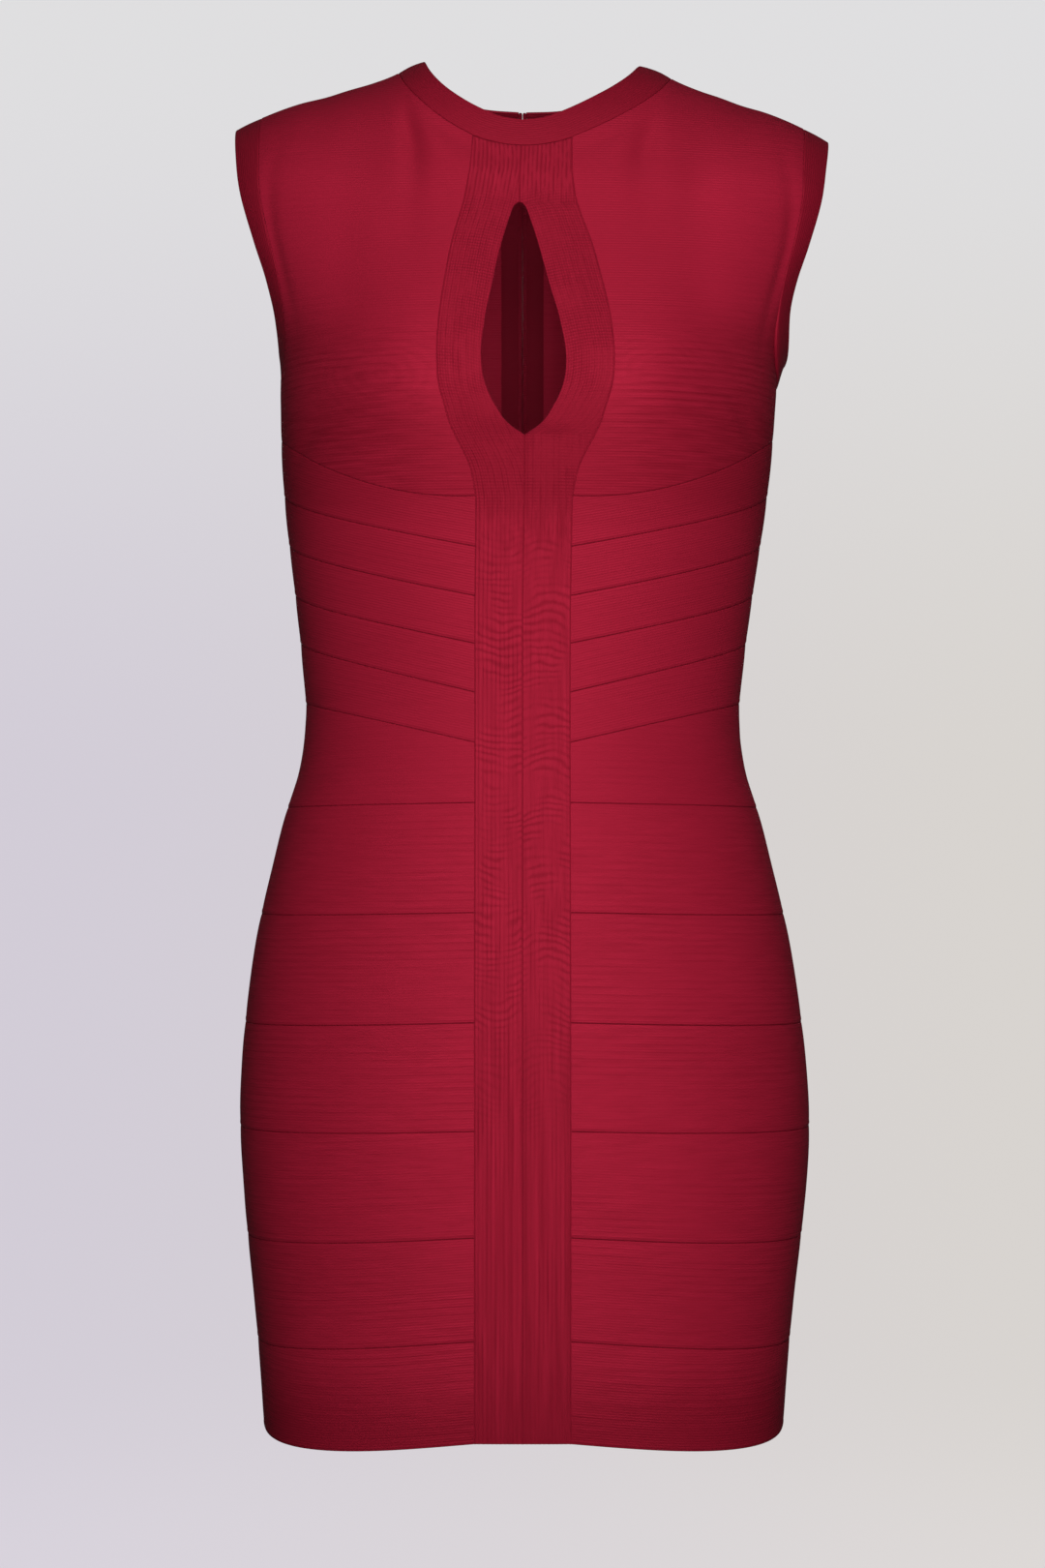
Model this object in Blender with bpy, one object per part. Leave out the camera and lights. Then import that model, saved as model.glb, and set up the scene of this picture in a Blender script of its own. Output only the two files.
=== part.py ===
"""A sleeveless bodycon dress of sewn knit bands, in the hollow form that it has when worn.

Metres, +Z up, the front faces -Y and the wearer's left is +X. The origin is midway between the
shoulders, where the wearer holds the dress up. The worn form is one closed surface: a table of
rings below the arms, closed above by an arch that meets along the shoulder ridge. A point of it
is named by an angle, 0 at centre front, 90 at the side and 180 at centre back, and by a drop,
the length down the cloth from the ridge. Every cloth piece is a wall between its own seams.
"""

import math

import bmesh
import bpy
import numpy as np

MM = 0.001

# ---- driving sizes, in millimetres -------------------------------------------------------
CLOTH = 1.6
SEAM_GAP = 0.3
STRIP_WIDTH = 26.7
TOP_HALF_WIDTH = 185.0
TAPE_FROM_EDGE = 2.6
TAPE_WIDTH = 10.4
TAPE_BEHIND = 2.3
TAPE_THICK = 0.8
TAPE_BELOW_EDGE = 1.2
ZIP_END_BAND = 3
SLOT_HALF_WIDTH = 2.6

# The rings of the worn form.
# height, half width, front depth, back depth, squareness
FORM = np.array([
    (-790, 151.0, 95.5, 99.0, 2.75),
    (-740, 154.3, 97.0, 101.0, 2.70),
    (-700, 158.0, 98.5, 104.0, 2.60),
    (-640, 164.5, 99.5, 110.0, 2.50),
    (-593, 167.0, 99.0, 113.5, 2.45),
    (-560, 165.5, 98.0, 113.0, 2.40),
    (-523, 161.5, 96.5, 110.0, 2.40),
    (-483, 155.2, 93.5, 103.0, 2.35),
    (-448, 147.0, 90.0, 95.0, 2.30),
    (-415, 138.7, 86.5, 86.0, 2.25),
    (-393, 131.6, 85.0, 80.0, 2.20),
    (-362, 127.6, 84.0, 76.0, 2.20),
    (-325, 130.2, 86.5, 77.0, 2.20),
    (-285, 135.0, 92.0, 81.0, 2.25),
    (-239, 141.0, 101.0, 87.0, 2.30),
    (-205, 144.0, 106.5, 91.0, 2.35),
    (-175, 145.2, 107.5, 94.0, 2.40),
    (-152, 146.5, 105.0, 95.0, 2.40),
    (-131, 153.0, 100.0, 94.5, 2.40),
    (-110, 163.0, 93.5, 92.5, 2.40),
    (-88, 174.0, 86.0, 88.5, 2.40),
    (-60, 183.0, 78.0, 81.0, 2.40),
    (-38, 184.5, 73.0, 74.0, 2.40),
    (-10, 185.0, 72.0, 72.0, 2.40),
    (8, 185.0, 72.0, 79.0, 2.40),
    (40, 185.0, 72.0, 80.0, 2.40),
])

# The shoulder ridge, where front and back meet.
# distance from the middle, height
RIDGE = np.array([
    (0, 26.0),
    (50, 25.0),
    (63.4, 23.6),
    (72.9, 20.3),
    (82.4, 15.2),
    (95.8, 9.9),
    (109, 5.8),
    (121, 1.7),
    (137, -2.5),
    (158, -10.5),
    (174, -18.0),
    (185, -24.0),
])

# How tall the arch is over each point of the ridge: flatter at the neck, rounder at the arm.
# distance from the middle, height of the arch
ARCH = np.array([
    (0, 85.0),
    (80, 80.0),
    (130, 60.0),
    (174, 42.0),
    (185, 38.0),
])

# How far the worn cloth stands towards the wearer's left, beyond the centre strips.
# height, shift
SWAY = np.array([
    (-790, 0.6),
    (-690, 0.9),
    (-621, 1.5),
    (-560, 0.8),
    (-480, 0.0),
    (-365, 0.0),
    (-279, 1.0),
    (-211, 2.4),
    (-165, 3.6),
    (-108, 5.2),
    (-40, 4.9),
    (30, 8.4),
])
SWAY_FROM = 60.0
SWAY_POWER = 4

# How far the front's middle leans the same way, within the reach of the centre strips.
# height, shift
LEAN = np.array([
    (-300, 0.0),
    (-250, 0.7),
    (-205, 1.1),
    (-175, 0.8),
    (-148, 0.0),
    (-125, -0.9),
    (-95, -1.6),
    (-60, -1.5),
    (-38, -0.5),
    (-22, 0.0),
])

# The shoulder line falls this much for each millimetre towards the wearer's left. The fall grows
# from none at the first height to all of it at the second.
TILT = 0.020
TILT_SPAN = (-125.0, -25.0)

# Fullness that the cut gives the front: distance from the middle, height, fullness,
# spread sideways, spread up and down. It fades out towards the side.
CUPS = (74.0, -170.0, 9.0, 42.0, 46.0)
CUP_FADE = 3.0

# Soft hollows beside the neck points, pressed into the form in the same five sizes.
NECK_HOLLOW = (66.0, -42.0, -1.8, 9.0, 34.0)

# The bands' seams, from under the bust down to the hem.
# height at the centre strip, at the side, at centre back, bow, sway
SEAMS = np.array([
    (-238.8, -197.8, -206.0, -0.25, 1.0),
    (-266.6, -229.1, -238.0, 0.00, 0.0),
    (-293.8, -258.2, -268.0, 0.10, 0.0),
    (-320.2, -287.3, -298.0, 0.20, 0.0),
    (-347.5, -316.0, -328.0, 0.40, 0.0),
    (-375.6, -351.7, -362.0, 0.80, 0.0),
    (-409.3, -413.0, -411.0, 0.00, 0.0),
    (-470.8, -475.0, -472.0, 0.30, 0.0),
    (-532.0, -538.0, -533.0, 0.40, 0.0),
    (-592.3, -598.5, -593.5, 0.40, 0.0),
    (-651.5, -661.0, -653.5, 0.80, 0.0),
    (-709.4, -721.0, -712.5, 1.00, 0.0),
    (-767.0, -771.0, -769.0, 6.00, 0.0),
])
MIDRIFF_BANDS = 5

# The front strips above the first band: height, inner edge (the keyhole), outer edge.
STRIP = np.array([
    (-238.8, 0.0, 26.8),
    (-222.0, 0.0, 30.5),
    (-205.5, 0.0, 38.8),
    (-200.0, 8.0, 41.4),
    (-190.0, 15.6, 44.5),
    (-178.0, 21.2, 47.9),
    (-163.0, 23.2, 49.0),
    (-143.0, 20.9, 48.0),
    (-118.0, 15.1, 44.0),
    (-92.0, 8.9, 38.2),
    (-76.5, 4.1, 33.3),
    (-72.0, 0.0, 32.0),
    (-52.0, 0.0, 28.6),
])

# The neckband: distance from the middle and height along its free edge and its seam.
NECK_EDGE_FRONT = [
    (0, -21.5),
    (13.0, -19.3),
    (25.4, -13.8),
    (38.2, -6.0),
    (49.9, 3.3),
    (57.5, 12.0),
    (63.4, 23.6),
]
NECK_SEAM_FRONT = [
    (28.0, -32.0),
    (44.0, -23.2),
    (58.0, -13.5),
    (68.0, -4.5),
    (75.5, 5.0),
    (80.7, 16.2),
]
NECK_SEAM_MIDDLE = -37.5
NECK_EDGE_BACK = [
    (0, 8.0),
    (25.0, 9.4),
    (42.0, 12.6),
    (54.0, 17.0),
    (63.4, 23.6),
]
NECK_SEAM_BACK = [
    (0, -8.0),
    (30.0, -6.0),
    (50.0, -1.8),
    (65.0, 4.4),
    (75.0, 10.8),
    (80.7, 16.2),
]

# The armhole: degrees forward of the side and height, along its free edge and its seam.
ARM_EDGE = [
    (0, -152),
    (9, -145),
    (16, -131),
    (22, -110),
    (25, -88),
    (25.2, -60),
    (23.6, -40),
    (21.4, -18.5),
]
ARM_SEAM = [
    (0, -167),
    (11, -160),
    (20, -146),
    (26, -125),
    (30, -108),
    (33, -84),
    (34.4, -60),
    (34.6, -36),
    (33.6, -10.8),
]
# Millimetres round the body for a degree there.
ARM_DEGREE = 2.6

# How finely the pieces are divided.
BAND_COLUMNS = 10
BAND_ROWS = 2
STRIP_COLUMNS = 3
NECK_PARTS = 6
SIDE_PARTS = 3
ARM_PARTS = 16
RIBBON_PARTS = 2
NORMAL_STEP = 0.05
MERGE_DISTANCE = 1e-6

# The zip's slider and pull, along the cloth, outwards and across. The slider lies along the
# line between two heights of centre back.
SLIDER_SPAN = (5.0, -24.0)
SLIDER_LENGTH = 8.6
SLIDER_WIDTH = 4.2
SLIDER_INNER = -3.4
SLIDER_OUTER = 1.5
BRIDGE_SPAN = 6.0
BRIDGE_BAR = 0.9
BRIDGE_WIDTH = 1.4
BRIDGE_RISE = 2.6
PULL_LENGTH = 21.0
PULL_WIDTH = 5.2
PULL_THICK = 1.0
PULL_WINDOW = (2.7, 4.2)
PULL_TIP_WIDTH = 3.6
PIVOT_RISE = 0.85

# Joined boxes reach this far into each other. The pull's arms are thinner than its bar by the
# second size and end short of the bar's face by the first, so that no two faces coincide.
BURY = 0.3
ARM_SHORT = 0.05
ARM_THINNER = 0.02

CRIMSON = (0.31, 0.011, 0.030, 1.0)
CRIMSON_DARK = (0.24, 0.008, 0.024, 1.0)
TAPE_RED = (0.20, 0.008, 0.020, 1.0)
ENAMEL_RED = (0.27, 0.010, 0.024, 1.0)


# ---- the worn form -----------------------------------------------------------------------
def smooth(at, stations, values):
    """A smooth line through the stations: cubic pieces with the slopes of their neighbours."""
    stations = np.asarray(stations, float)
    values = np.asarray(values, float)
    slopes = np.gradient(values, stations)
    i = np.clip(np.searchsorted(stations, at) - 1, 0, len(stations) - 2)
    step = stations[i + 1] - stations[i]
    t = np.clip((at - stations[i]) / step, 0.0, 1.0)
    rise = values[i + 1] - values[i]
    bend_in = slopes[i] * step - rise
    bend_out = rise - slopes[i + 1] * step
    return values[i] + t * rise + t * (1 - t) * ((1 - t) * bend_in + t * bend_out)


def ring(height, column):
    """One column of the form's table at any height."""
    return smooth(height, FORM[:, 0], FORM[:, column])


def angle_at(across, height):
    """The angle, up to 90, of the form's point that is this far from the middle."""
    share = np.clip(np.asarray(across, float) / ring(height, 1), 0.0, 1.0)
    return np.degrees(np.arcsin(share ** (ring(height, 4) / 2)))


def over(angle, table):
    """The ridge's or the arch's height over the form at this angle."""
    top_squareness = FORM[-1, 4]
    across = TOP_HALF_WIDTH * np.abs(np.sin(np.radians(angle))) ** (2 / top_squareness)
    return smooth(across, table[:, 0], table[:, 1])


def drop_at(angle, height):
    """The length down the cloth from the ridge to this height."""
    under = np.maximum(over(angle, RIDGE) - height, 0.0)
    arch = over(angle, ARCH)
    on_arch = np.arccos(np.clip(1 - under / arch, 0.0, 1.0)) * arch
    return np.where(under < arch, on_arch, under + arch * (math.pi / 2 - 1))


def swell(across, height, sizes):
    """A soft mound, or a hollow where its fullness is negative."""
    middle, level, fullness, sideways, upright = sizes
    return fullness * np.exp(-((across - middle) / sideways) ** 2 - ((height - level) / upright) ** 2)


def form(place):
    """The worn form's points, in millimetres, for places of (angle, drop)."""
    angle = place[..., 0]
    drop = place[..., 1]
    arch = over(angle, ARCH)
    turn = np.minimum(drop / arch, math.pi / 2)
    under = np.where(turn < math.pi / 2, arch * (1 - np.cos(turn)), drop - arch * (math.pi / 2 - 1))
    height = over(angle, RIDGE) - under
    power = 2 / ring(height, 4)
    forward = np.cos(np.radians(angle))
    sideways = np.sin(np.radians(angle))
    across = ring(height, 1) * np.sign(sideways) * np.abs(sideways) ** power
    depth = np.where(forward > 0, ring(height, 2), ring(height, 3)) * np.abs(forward) ** power
    depth = depth * np.sin(turn)
    cups = swell(np.abs(across), height, CUPS) + swell(np.abs(across), height, NECK_HOLLOW)
    cups = cups * np.clip(CUP_FADE * forward, 0, 1) * np.sin(turn)
    depth = depth + np.where(forward > 0, cups, 0.0)
    return np.stack([across, -np.sign(forward) * depth, height], axis=-1)


def swayed(points):
    """Points moved towards the wearer's left, with the front's lean and the shoulders' tilt."""
    beyond = 1 - np.exp(-(points[..., 0] / SWAY_FROM) ** SWAY_POWER)
    middle = np.where(points[..., 1] < 0, 1 - beyond, 0.0)
    low, high = TILT_SPAN
    risen = np.clip((points[..., 2] - low) / (high - low), 0, 1)
    moved = points.copy()
    moved[..., 0] += smooth(points[..., 2], SWAY[:, 0], SWAY[:, 1]) * beyond
    moved[..., 0] += smooth(points[..., 2], LEAN[:, 0], LEAN[:, 1]) * middle
    moved[..., 2] -= TILT * points[..., 0] * risen * risen * (3 - 2 * risen)
    return moved


def outward(place):
    """The form's unit normals, from small steps along it."""
    turn_step = np.array([NORMAL_STEP, 0.0])
    drop_step = np.array([0.0, NORMAL_STEP])
    along = form(place + turn_step) - form(place - turn_step)
    down = form(place + drop_step) - form(np.maximum(place - drop_step, [-np.inf, 0.0]))
    normal = np.cross(down, along)
    return normal / np.linalg.norm(normal, axis=-1, keepdims=True)


def to_place(angle, height):
    """Places of (angle, drop) for angles and heights."""
    angle, height = np.broadcast_arrays(np.asarray(angle, float), np.asarray(height, float))
    front = np.where(angle > 90, 180 - angle, angle)
    return np.stack([angle, drop_at(front, height)], axis=-1)


def evenly(points, parts):
    """A smooth curve through a short list of points, cut into equal parts."""
    points = np.array(points, float)
    length = np.concatenate([[0], np.cumsum(np.linalg.norm(np.diff(points, axis=0), axis=1))])
    at = np.linspace(0, length[-1], parts + 1)
    return np.stack([smooth(at, length, points[:, k]) for k in range(2)], axis=-1)


# ---- seams and edges, as rows of places ----------------------------------------------------
def seam_height(row, share):
    """A front seam's height, from the strip (share 0) to the side (share 1)."""
    strip, side, _, bow, sway = SEAMS[row]
    eased = share + share * (1 - share) * (bow + sway * (2 * share - 1))
    return strip + (side - strip) * eased


def front_seam(row):
    """A front seam's places, from the strip's edge to the side."""
    share = np.linspace(0, 1, BAND_COLUMNS + 1)
    height = seam_height(row, share)
    start = angle_at(strip_edge(height[:1])[0], height[0])
    return to_place(start + (90 - start) * share, height)


def back_seam(row):
    """A back seam's places, from centre back to the side."""
    share = np.linspace(0, 1, BAND_COLUMNS + 1)
    _, side, middle, _, _ = SEAMS[row]
    height = middle + (side - middle) * share * share * (3 - 2 * share)
    return to_place(180 - 90 * share, height)


def strip_edge(height):
    """The strip's outer edge from the middle: widened round the keyhole, straight below it."""
    around = smooth(height, STRIP[:, 0], STRIP[:, 2])
    return np.where(height > SEAMS[0, 0], around, STRIP_WIDTH)


def strip_heights():
    """The strip's rows below the keyhole part: each band's seams and the rows between them."""
    seams = SEAMS[:, 0]
    steps = [np.linspace(a, b, BAND_ROWS + 1)[:-1] for a, b in zip(seams[:-1], seams[1:])]
    return np.concatenate([*steps, seams[-1:]])


def strip_side():
    """The strip's outer edge from the under-bust seam up to the neckband."""
    heights = STRIP[:, 0]
    edge = to_place(angle_at(STRIP[:, 2], heights), heights)
    return np.concatenate([edge, neck_seam_front()[:1]])


def from_middle(points):
    """Places for front points given by their distance from the middle and their height."""
    return to_place(angle_at(points[:, 0], points[:, 1]), points[:, 1])


def behind(places):
    """The same places on the back."""
    return places * [-1, 1] + [180, 0]


def neck_seam_front():
    """The neckband's seam over a bust panel, from the strip to the shoulder."""
    return from_middle(evenly(NECK_SEAM_FRONT, NECK_PARTS))


def neck_seam_back():
    """The neckband's seam over a back yoke, from centre back to the shoulder."""
    return behind(from_middle(evenly(NECK_SEAM_BACK, NECK_PARTS)))


def neck_seam_strip():
    """The neckband's seam over one strip, from centre front to the strip's outer edge."""
    across = np.linspace(0, NECK_SEAM_FRONT[0][0], STRIP_COLUMNS + 1)
    rise = (NECK_SEAM_FRONT[0][1] - NECK_SEAM_MIDDLE) * (across / across[-1]) ** 2
    return from_middle(np.stack([across, NECK_SEAM_MIDDLE + rise], axis=-1))


def arm_line(points):
    """One of the armhole's lines, from the side up to the ridge."""
    table = evenly(np.array(points) * [ARM_DEGREE, 1], ARM_PARTS) / [ARM_DEGREE, 1]
    places = to_place(90 - table[:, 0], table[:, 1])
    places[-1, 1] = 0
    return places


def between(first, last, parts):
    """Places in a straight row from one place to another."""
    return first + (last - first) * np.linspace(0, 1, parts + 1)[:, None]


# ---- sheets ------------------------------------------------------------------------------
def patch(bottom, top, left, right):
    """A grid of places that blends four edges: straight rows plus straight columns less corners."""
    u = np.linspace(0, 1, len(bottom))[None, :, None]
    v = np.linspace(0, 1, len(left))[:, None, None]
    rows = (1 - v) * bottom[None] + v * top[None]
    columns = (1 - u) * left[:, None] + u * right[:, None]
    corners = (1 - v) * ((1 - u) * bottom[0] + u * bottom[-1]) + v * ((1 - u) * top[0] + u * top[-1])
    return rows + columns - corners


def drawn_back(points):
    """The grid with its four edges drawn back towards their own piece by half the seam gap."""
    points = points.copy()
    for axis in (0, 1):
        rows = np.moveaxis(points, axis, 0)
        for edge, inner in ((0, 1), (-1, -2)):
            step = rows[inner] - rows[edge]
            rows[edge] += SEAM_GAP / 2 * step / np.linalg.norm(step, axis=-1, keepdims=True)
    return points


def sheet(places):
    """A sheet's points and normals on the form."""
    return form(places), outward(places)


def mirrored(points, normals):
    """The same sheet on the wearer's other side, its rows reversed so that it still faces out."""
    return points[:, ::-1] * [-1, 1, 1], normals[:, ::-1] * [-1, 1, 1]


def across_back(points, normals):
    """A sheet that runs over centre back: its own half and the mirrored one, joined."""
    other_points, other_normals = mirrored(points, normals)
    if points[0, 0, 0] < points[0, -1, 0]:
        return (np.concatenate([other_points[:, :-1], points], axis=1),
                np.concatenate([other_normals[:, :-1], normals], axis=1))
    return (np.concatenate([points, other_points[:, 1:]], axis=1),
            np.concatenate([normals, other_normals[:, 1:]], axis=1))


# ---- Blender objects ---------------------------------------------------------------------
def clear_scene():
    """Removes every object."""
    for old in list(bpy.data.objects):
        bpy.data.objects.remove(old, do_unlink=True)


def finish(name, colour, roughness, metallic=0.0):
    """A Principled material."""
    material = bpy.data.materials.new(name)
    material.use_nodes = True
    shader = material.node_tree.nodes["Principled BSDF"]
    shader.inputs["Base Color"].default_value = colour
    shader.inputs["Roughness"].default_value = roughness
    shader.inputs["Metallic"].default_value = metallic
    return material


def add_object(name, bm, collection, material):
    """A named object from a bmesh, with its faces pointing out."""
    bmesh.ops.recalc_face_normals(bm, faces=bm.faces[:])
    mesh = bpy.data.meshes.new(name)
    bm.to_mesh(mesh)
    bm.free()
    mesh.materials.append(material)
    piece = bpy.data.objects.new(name, mesh)
    collection.objects.link(piece)
    return piece


def wall(name, points, normals, collection, material, behind_form=0.0, thick=CLOTH, closed=False):
    """A cloth wall: a grid laid on the swayed form, extruded inwards by the cloth's thickness.

    The inner points follow the form's own normals, so the gap at a seam stays even through
    the wall. A closed sheet's last column meets its first.
    """
    points = swayed(points)
    rows, columns = points.shape[:2]
    outer = ((points - normals * behind_form) * MM).reshape(-1, 3)
    inner = ((points - normals * (behind_form + thick)) * MM).reshape(-1, 3)
    bm = bmesh.new()
    bmesh.ops.create_grid(bm, x_segments=columns - 1, y_segments=rows - 1, size=1)
    place = bm.verts.layers.int.new("place")
    for index, vertex in enumerate(bm.verts):
        vertex[place] = index
        vertex.co = outer[index]
    if closed:
        bmesh.ops.remove_doubles(bm, verts=bm.verts[:], dist=MERGE_DISTANCE)
    grown = bmesh.ops.extrude_face_region(bm, geom=bm.faces[:], use_keep_orig=True)
    for part in grown["geom"]:
        if isinstance(part, bmesh.types.BMVert):
            part.co = inner[part[place]]
    return add_object(name, bm, collection, material)


# ---- cloth pieces ------------------------------------------------------------------------
def both_sides(name, places, collection, material, **wall_options):
    """One piece for each side, with its edges drawn back at the seams."""
    points, normals = sheet(places)
    points = drawn_back(points)
    wall(f"{name}_left", points, normals, collection, material, **wall_options)
    wall(f"{name}_right", *mirrored(points, normals), collection, material, **wall_options)


def band_edges(row, seam, start):
    """The rows of a band: its lower and upper seams, its inner end and its side end."""
    bottom = seam(row + 1)
    top = seam(row)
    return patch(bottom, top, start(row), between(bottom[-1], top[-1], BAND_ROWS))


def strip_end(row):
    """A front band's end along the strip."""
    heights = np.linspace(SEAMS[row + 1, 0], SEAMS[row, 0], BAND_ROWS + 1)
    return to_place(angle_at(strip_edge(heights), heights), heights)


def middle_end(row):
    """A back band's end along centre back."""
    heights = np.linspace(SEAMS[row + 1, 2], SEAMS[row, 2], BAND_ROWS + 1)
    return to_place(180.0, heights)


def band_name(row):
    """Midriff bands and skirt bands are counted from the top of each."""
    if row < MIDRIFF_BANDS:
        return f"midriff_band_{row + 1}"
    return f"skirt_band_{row - MIDRIFF_BANDS + 1}"


def build_bands(collection, material):
    """The front and back bands, from under the bust to the hem."""
    for row in range(len(SEAMS) - 1):
        both_sides(f"front_{band_name(row)}", band_edges(row, front_seam, strip_end), collection, material)
        back = band_edges(row, back_seam, middle_end)
        if row < MIDRIFF_BANDS + ZIP_END_BAND:
            both_sides(f"back_{band_name(row)}", back, collection, material)
        else:
            points, normals = across_back(*sheet(back))
            wall(f"back_{band_name(row)}", drawn_back(points), normals, collection, material)


def build_strips(collection, material):
    """The two ribbed centre strips, which part round the keyhole."""
    heights = np.concatenate([STRIP[:0:-1, 0], strip_heights()])
    outer = strip_edge(heights)
    inner = np.where(heights > SEAMS[0, 0], np.interp(heights, STRIP[:, 0], STRIP[:, 1]), 0.0)
    share = np.linspace(0, 1, STRIP_COLUMNS + 1)
    across = inner[:, None] + (outer - inner)[:, None] * share
    level = np.broadcast_to(heights[:, None], across.shape)
    places = to_place(angle_at(across, level), level)
    places = np.concatenate([neck_seam_strip()[None], places])[::-1]
    both_sides("centre_strip", places, collection, material)


def build_bust(collection, material):
    """The bust panels: from the under-bust seam to the shoulder."""
    bottom = front_seam(0)
    left = np.concatenate([strip_side()[:-1], neck_seam_front()])
    armhole = arm_line(ARM_SEAM)
    right = np.concatenate([between(bottom[-1], armhole[0], SIDE_PARTS), armhole[1:]])
    top = between(left[-1], right[-1], BAND_COLUMNS)
    both_sides("bust_panel", patch(bottom, top, left, right), collection, material)


def yoke_middle():
    """The back yoke's edge along centre back, from its lowest seam to the neckband."""
    parts = len(STRIP)
    heights = np.linspace(SEAMS[0, 2], NECK_SEAM_BACK[0][1], parts + 1)
    return to_place(180.0, heights)


def build_yoke(collection, material):
    """The back yoke panels: from the uppermost band to the shoulder."""
    bottom = back_seam(0)
    left = np.concatenate([yoke_middle()[:-1], neck_seam_back()])
    armhole = behind(arm_line(ARM_SEAM))
    right = np.concatenate([between(bottom[-1], armhole[0], SIDE_PARTS), armhole[1:]])
    top = between(left[-1], right[-1], BAND_COLUMNS)
    both_sides("back_yoke", patch(bottom, top, left, right), collection, material)


def ribbon(seam, edge):
    """A narrow grid between a seam and a free edge."""
    return np.stack([seam + (edge - seam) * share for share in np.linspace(0, 1, RIBBON_PARTS + 1)])


def build_neckband(collection, material):
    """The neckband, open at centre back, where the zip's slider stands between its ends."""
    front_seam_line = np.concatenate([neck_seam_strip()[:-1], neck_seam_front()])
    front_edge = from_middle(evenly(NECK_EDGE_FRONT, len(front_seam_line) - 1))
    back_edge = behind(from_middle(evenly(NECK_EDGE_BACK, NECK_PARTS)))
    front = sheet(ribbon(front_seam_line, front_edge))
    back = sheet(ribbon(neck_seam_back(), back_edge))
    points, normals = (np.concatenate([f, b[:, -2::-1]], axis=1) for f, b in zip(front, back))
    points, normals = across_back(points, normals)
    points[:, 0, 0] = -SLOT_HALF_WIDTH
    points[:, -1, 0] = SLOT_HALF_WIDTH
    wall("neckband", drawn_back(points), normals, collection, material)


def build_armholes(collection, material):
    """The armhole bands: closed loops over the shoulder and under the arm."""
    front = sheet(ribbon(arm_line(ARM_SEAM), arm_line(ARM_EDGE)))
    back = sheet(ribbon(behind(arm_line(ARM_SEAM)), behind(arm_line(ARM_EDGE))))
    points, normals = (np.concatenate([f, b[:, -2::-1]], axis=1) for f, b in zip(front, back))
    step = points[1] - points[0]
    points[0] += SEAM_GAP / 2 * step / np.linalg.norm(step, axis=-1, keepdims=True)
    points[:, -1] = points[:, 0]
    normals[:, -1] = normals[:, 0]
    wall("armhole_band_left", points, normals, collection, material, closed=True)
    wall("armhole_band_right", *mirrored(points, normals), collection, material, closed=True)


# ---- the zip -----------------------------------------------------------------------------
def zip_heights():
    """The rows of the zip's tapes: those of the pieces that they lie behind."""
    neck = [NECK_EDGE_BACK[0][1] - TAPE_BELOW_EDGE, NECK_SEAM_BACK[0][1]]
    yoke = np.linspace(NECK_SEAM_BACK[0][1], SEAMS[0, 2], len(STRIP) + 1)[1:]
    seams = SEAMS[: MIDRIFF_BANDS + ZIP_END_BAND + 1, 2]
    bands = [np.linspace(a, b, BAND_ROWS + 1)[1:] for a, b in zip(seams[:-1], seams[1:])]
    return np.concatenate([neck, yoke, *bands])[::-1]


def build_tapes(collection, material):
    """The zip's two tapes, behind the back's middle edges."""
    heights = zip_heights()
    edges = [TAPE_FROM_EDGE, TAPE_FROM_EDGE + TAPE_WIDTH]
    places = np.stack([to_place(180 - angle_at(edge, heights), heights) for edge in edges], axis=1)
    points, normals = sheet(places)
    options = {"behind_form": TAPE_BEHIND, "thick": TAPE_THICK}
    wall("zip_tape_left", points, normals, collection, material, **options)
    wall("zip_tape_right", *mirrored(points, normals), collection, material, **options)


def zip_frame():
    """The slider's place on centre back and the directions down the cloth and out of it."""
    ends = form(to_place(180.0, np.array(SLIDER_SPAN)))
    middle = form(to_place(180.0, 0.0))
    down = (ends[1] - ends[0]) / np.linalg.norm(ends[1] - ends[0])
    out = np.cross(down, [1.0, 0.0, 0.0])
    return middle, down, out * np.sign(out[1])


def box(bm, frame, sideways, along, outwards):
    """A box in the zip's frame, from its low and high sizes in the three directions."""
    middle, down, out = frame
    made = bmesh.ops.create_cube(bm, size=1)
    for vertex in made["verts"]:
        a, b, c = (low + (high - low) * (co + 0.5)
                   for co, (low, high) in zip(vertex.co, (sideways, along, outwards)))
        vertex.co = (middle + np.array([a, 0, 0]) + down * b + out * c) * MM
    return made["verts"]


def joined(name, pieces, collection, material):
    """One solid from overlapping boxes, by exact Boolean unions."""
    whole = pieces[0]
    for other in pieces[1:]:
        union = whole.modifiers.new(other.name, "BOOLEAN")
        union.operation = "UNION"
        union.object = other
    bpy.context.view_layer.update()
    mesh = bpy.data.meshes.new_from_object(whole.evaluated_get(bpy.context.evaluated_depsgraph_get()))
    for piece in pieces:
        bpy.data.objects.remove(piece, do_unlink=True)
    mesh.materials.clear()
    mesh.materials.append(material)
    result = bpy.data.objects.new(name, mesh)
    collection.objects.link(result)
    return result


def solid_box(name, frame, sideways, along, outwards, collection, material):
    """A box in the zip's frame as an object of its own."""
    bm = bmesh.new()
    box(bm, frame, sideways, along, outwards)
    return add_object(name, bm, collection, material)


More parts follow.
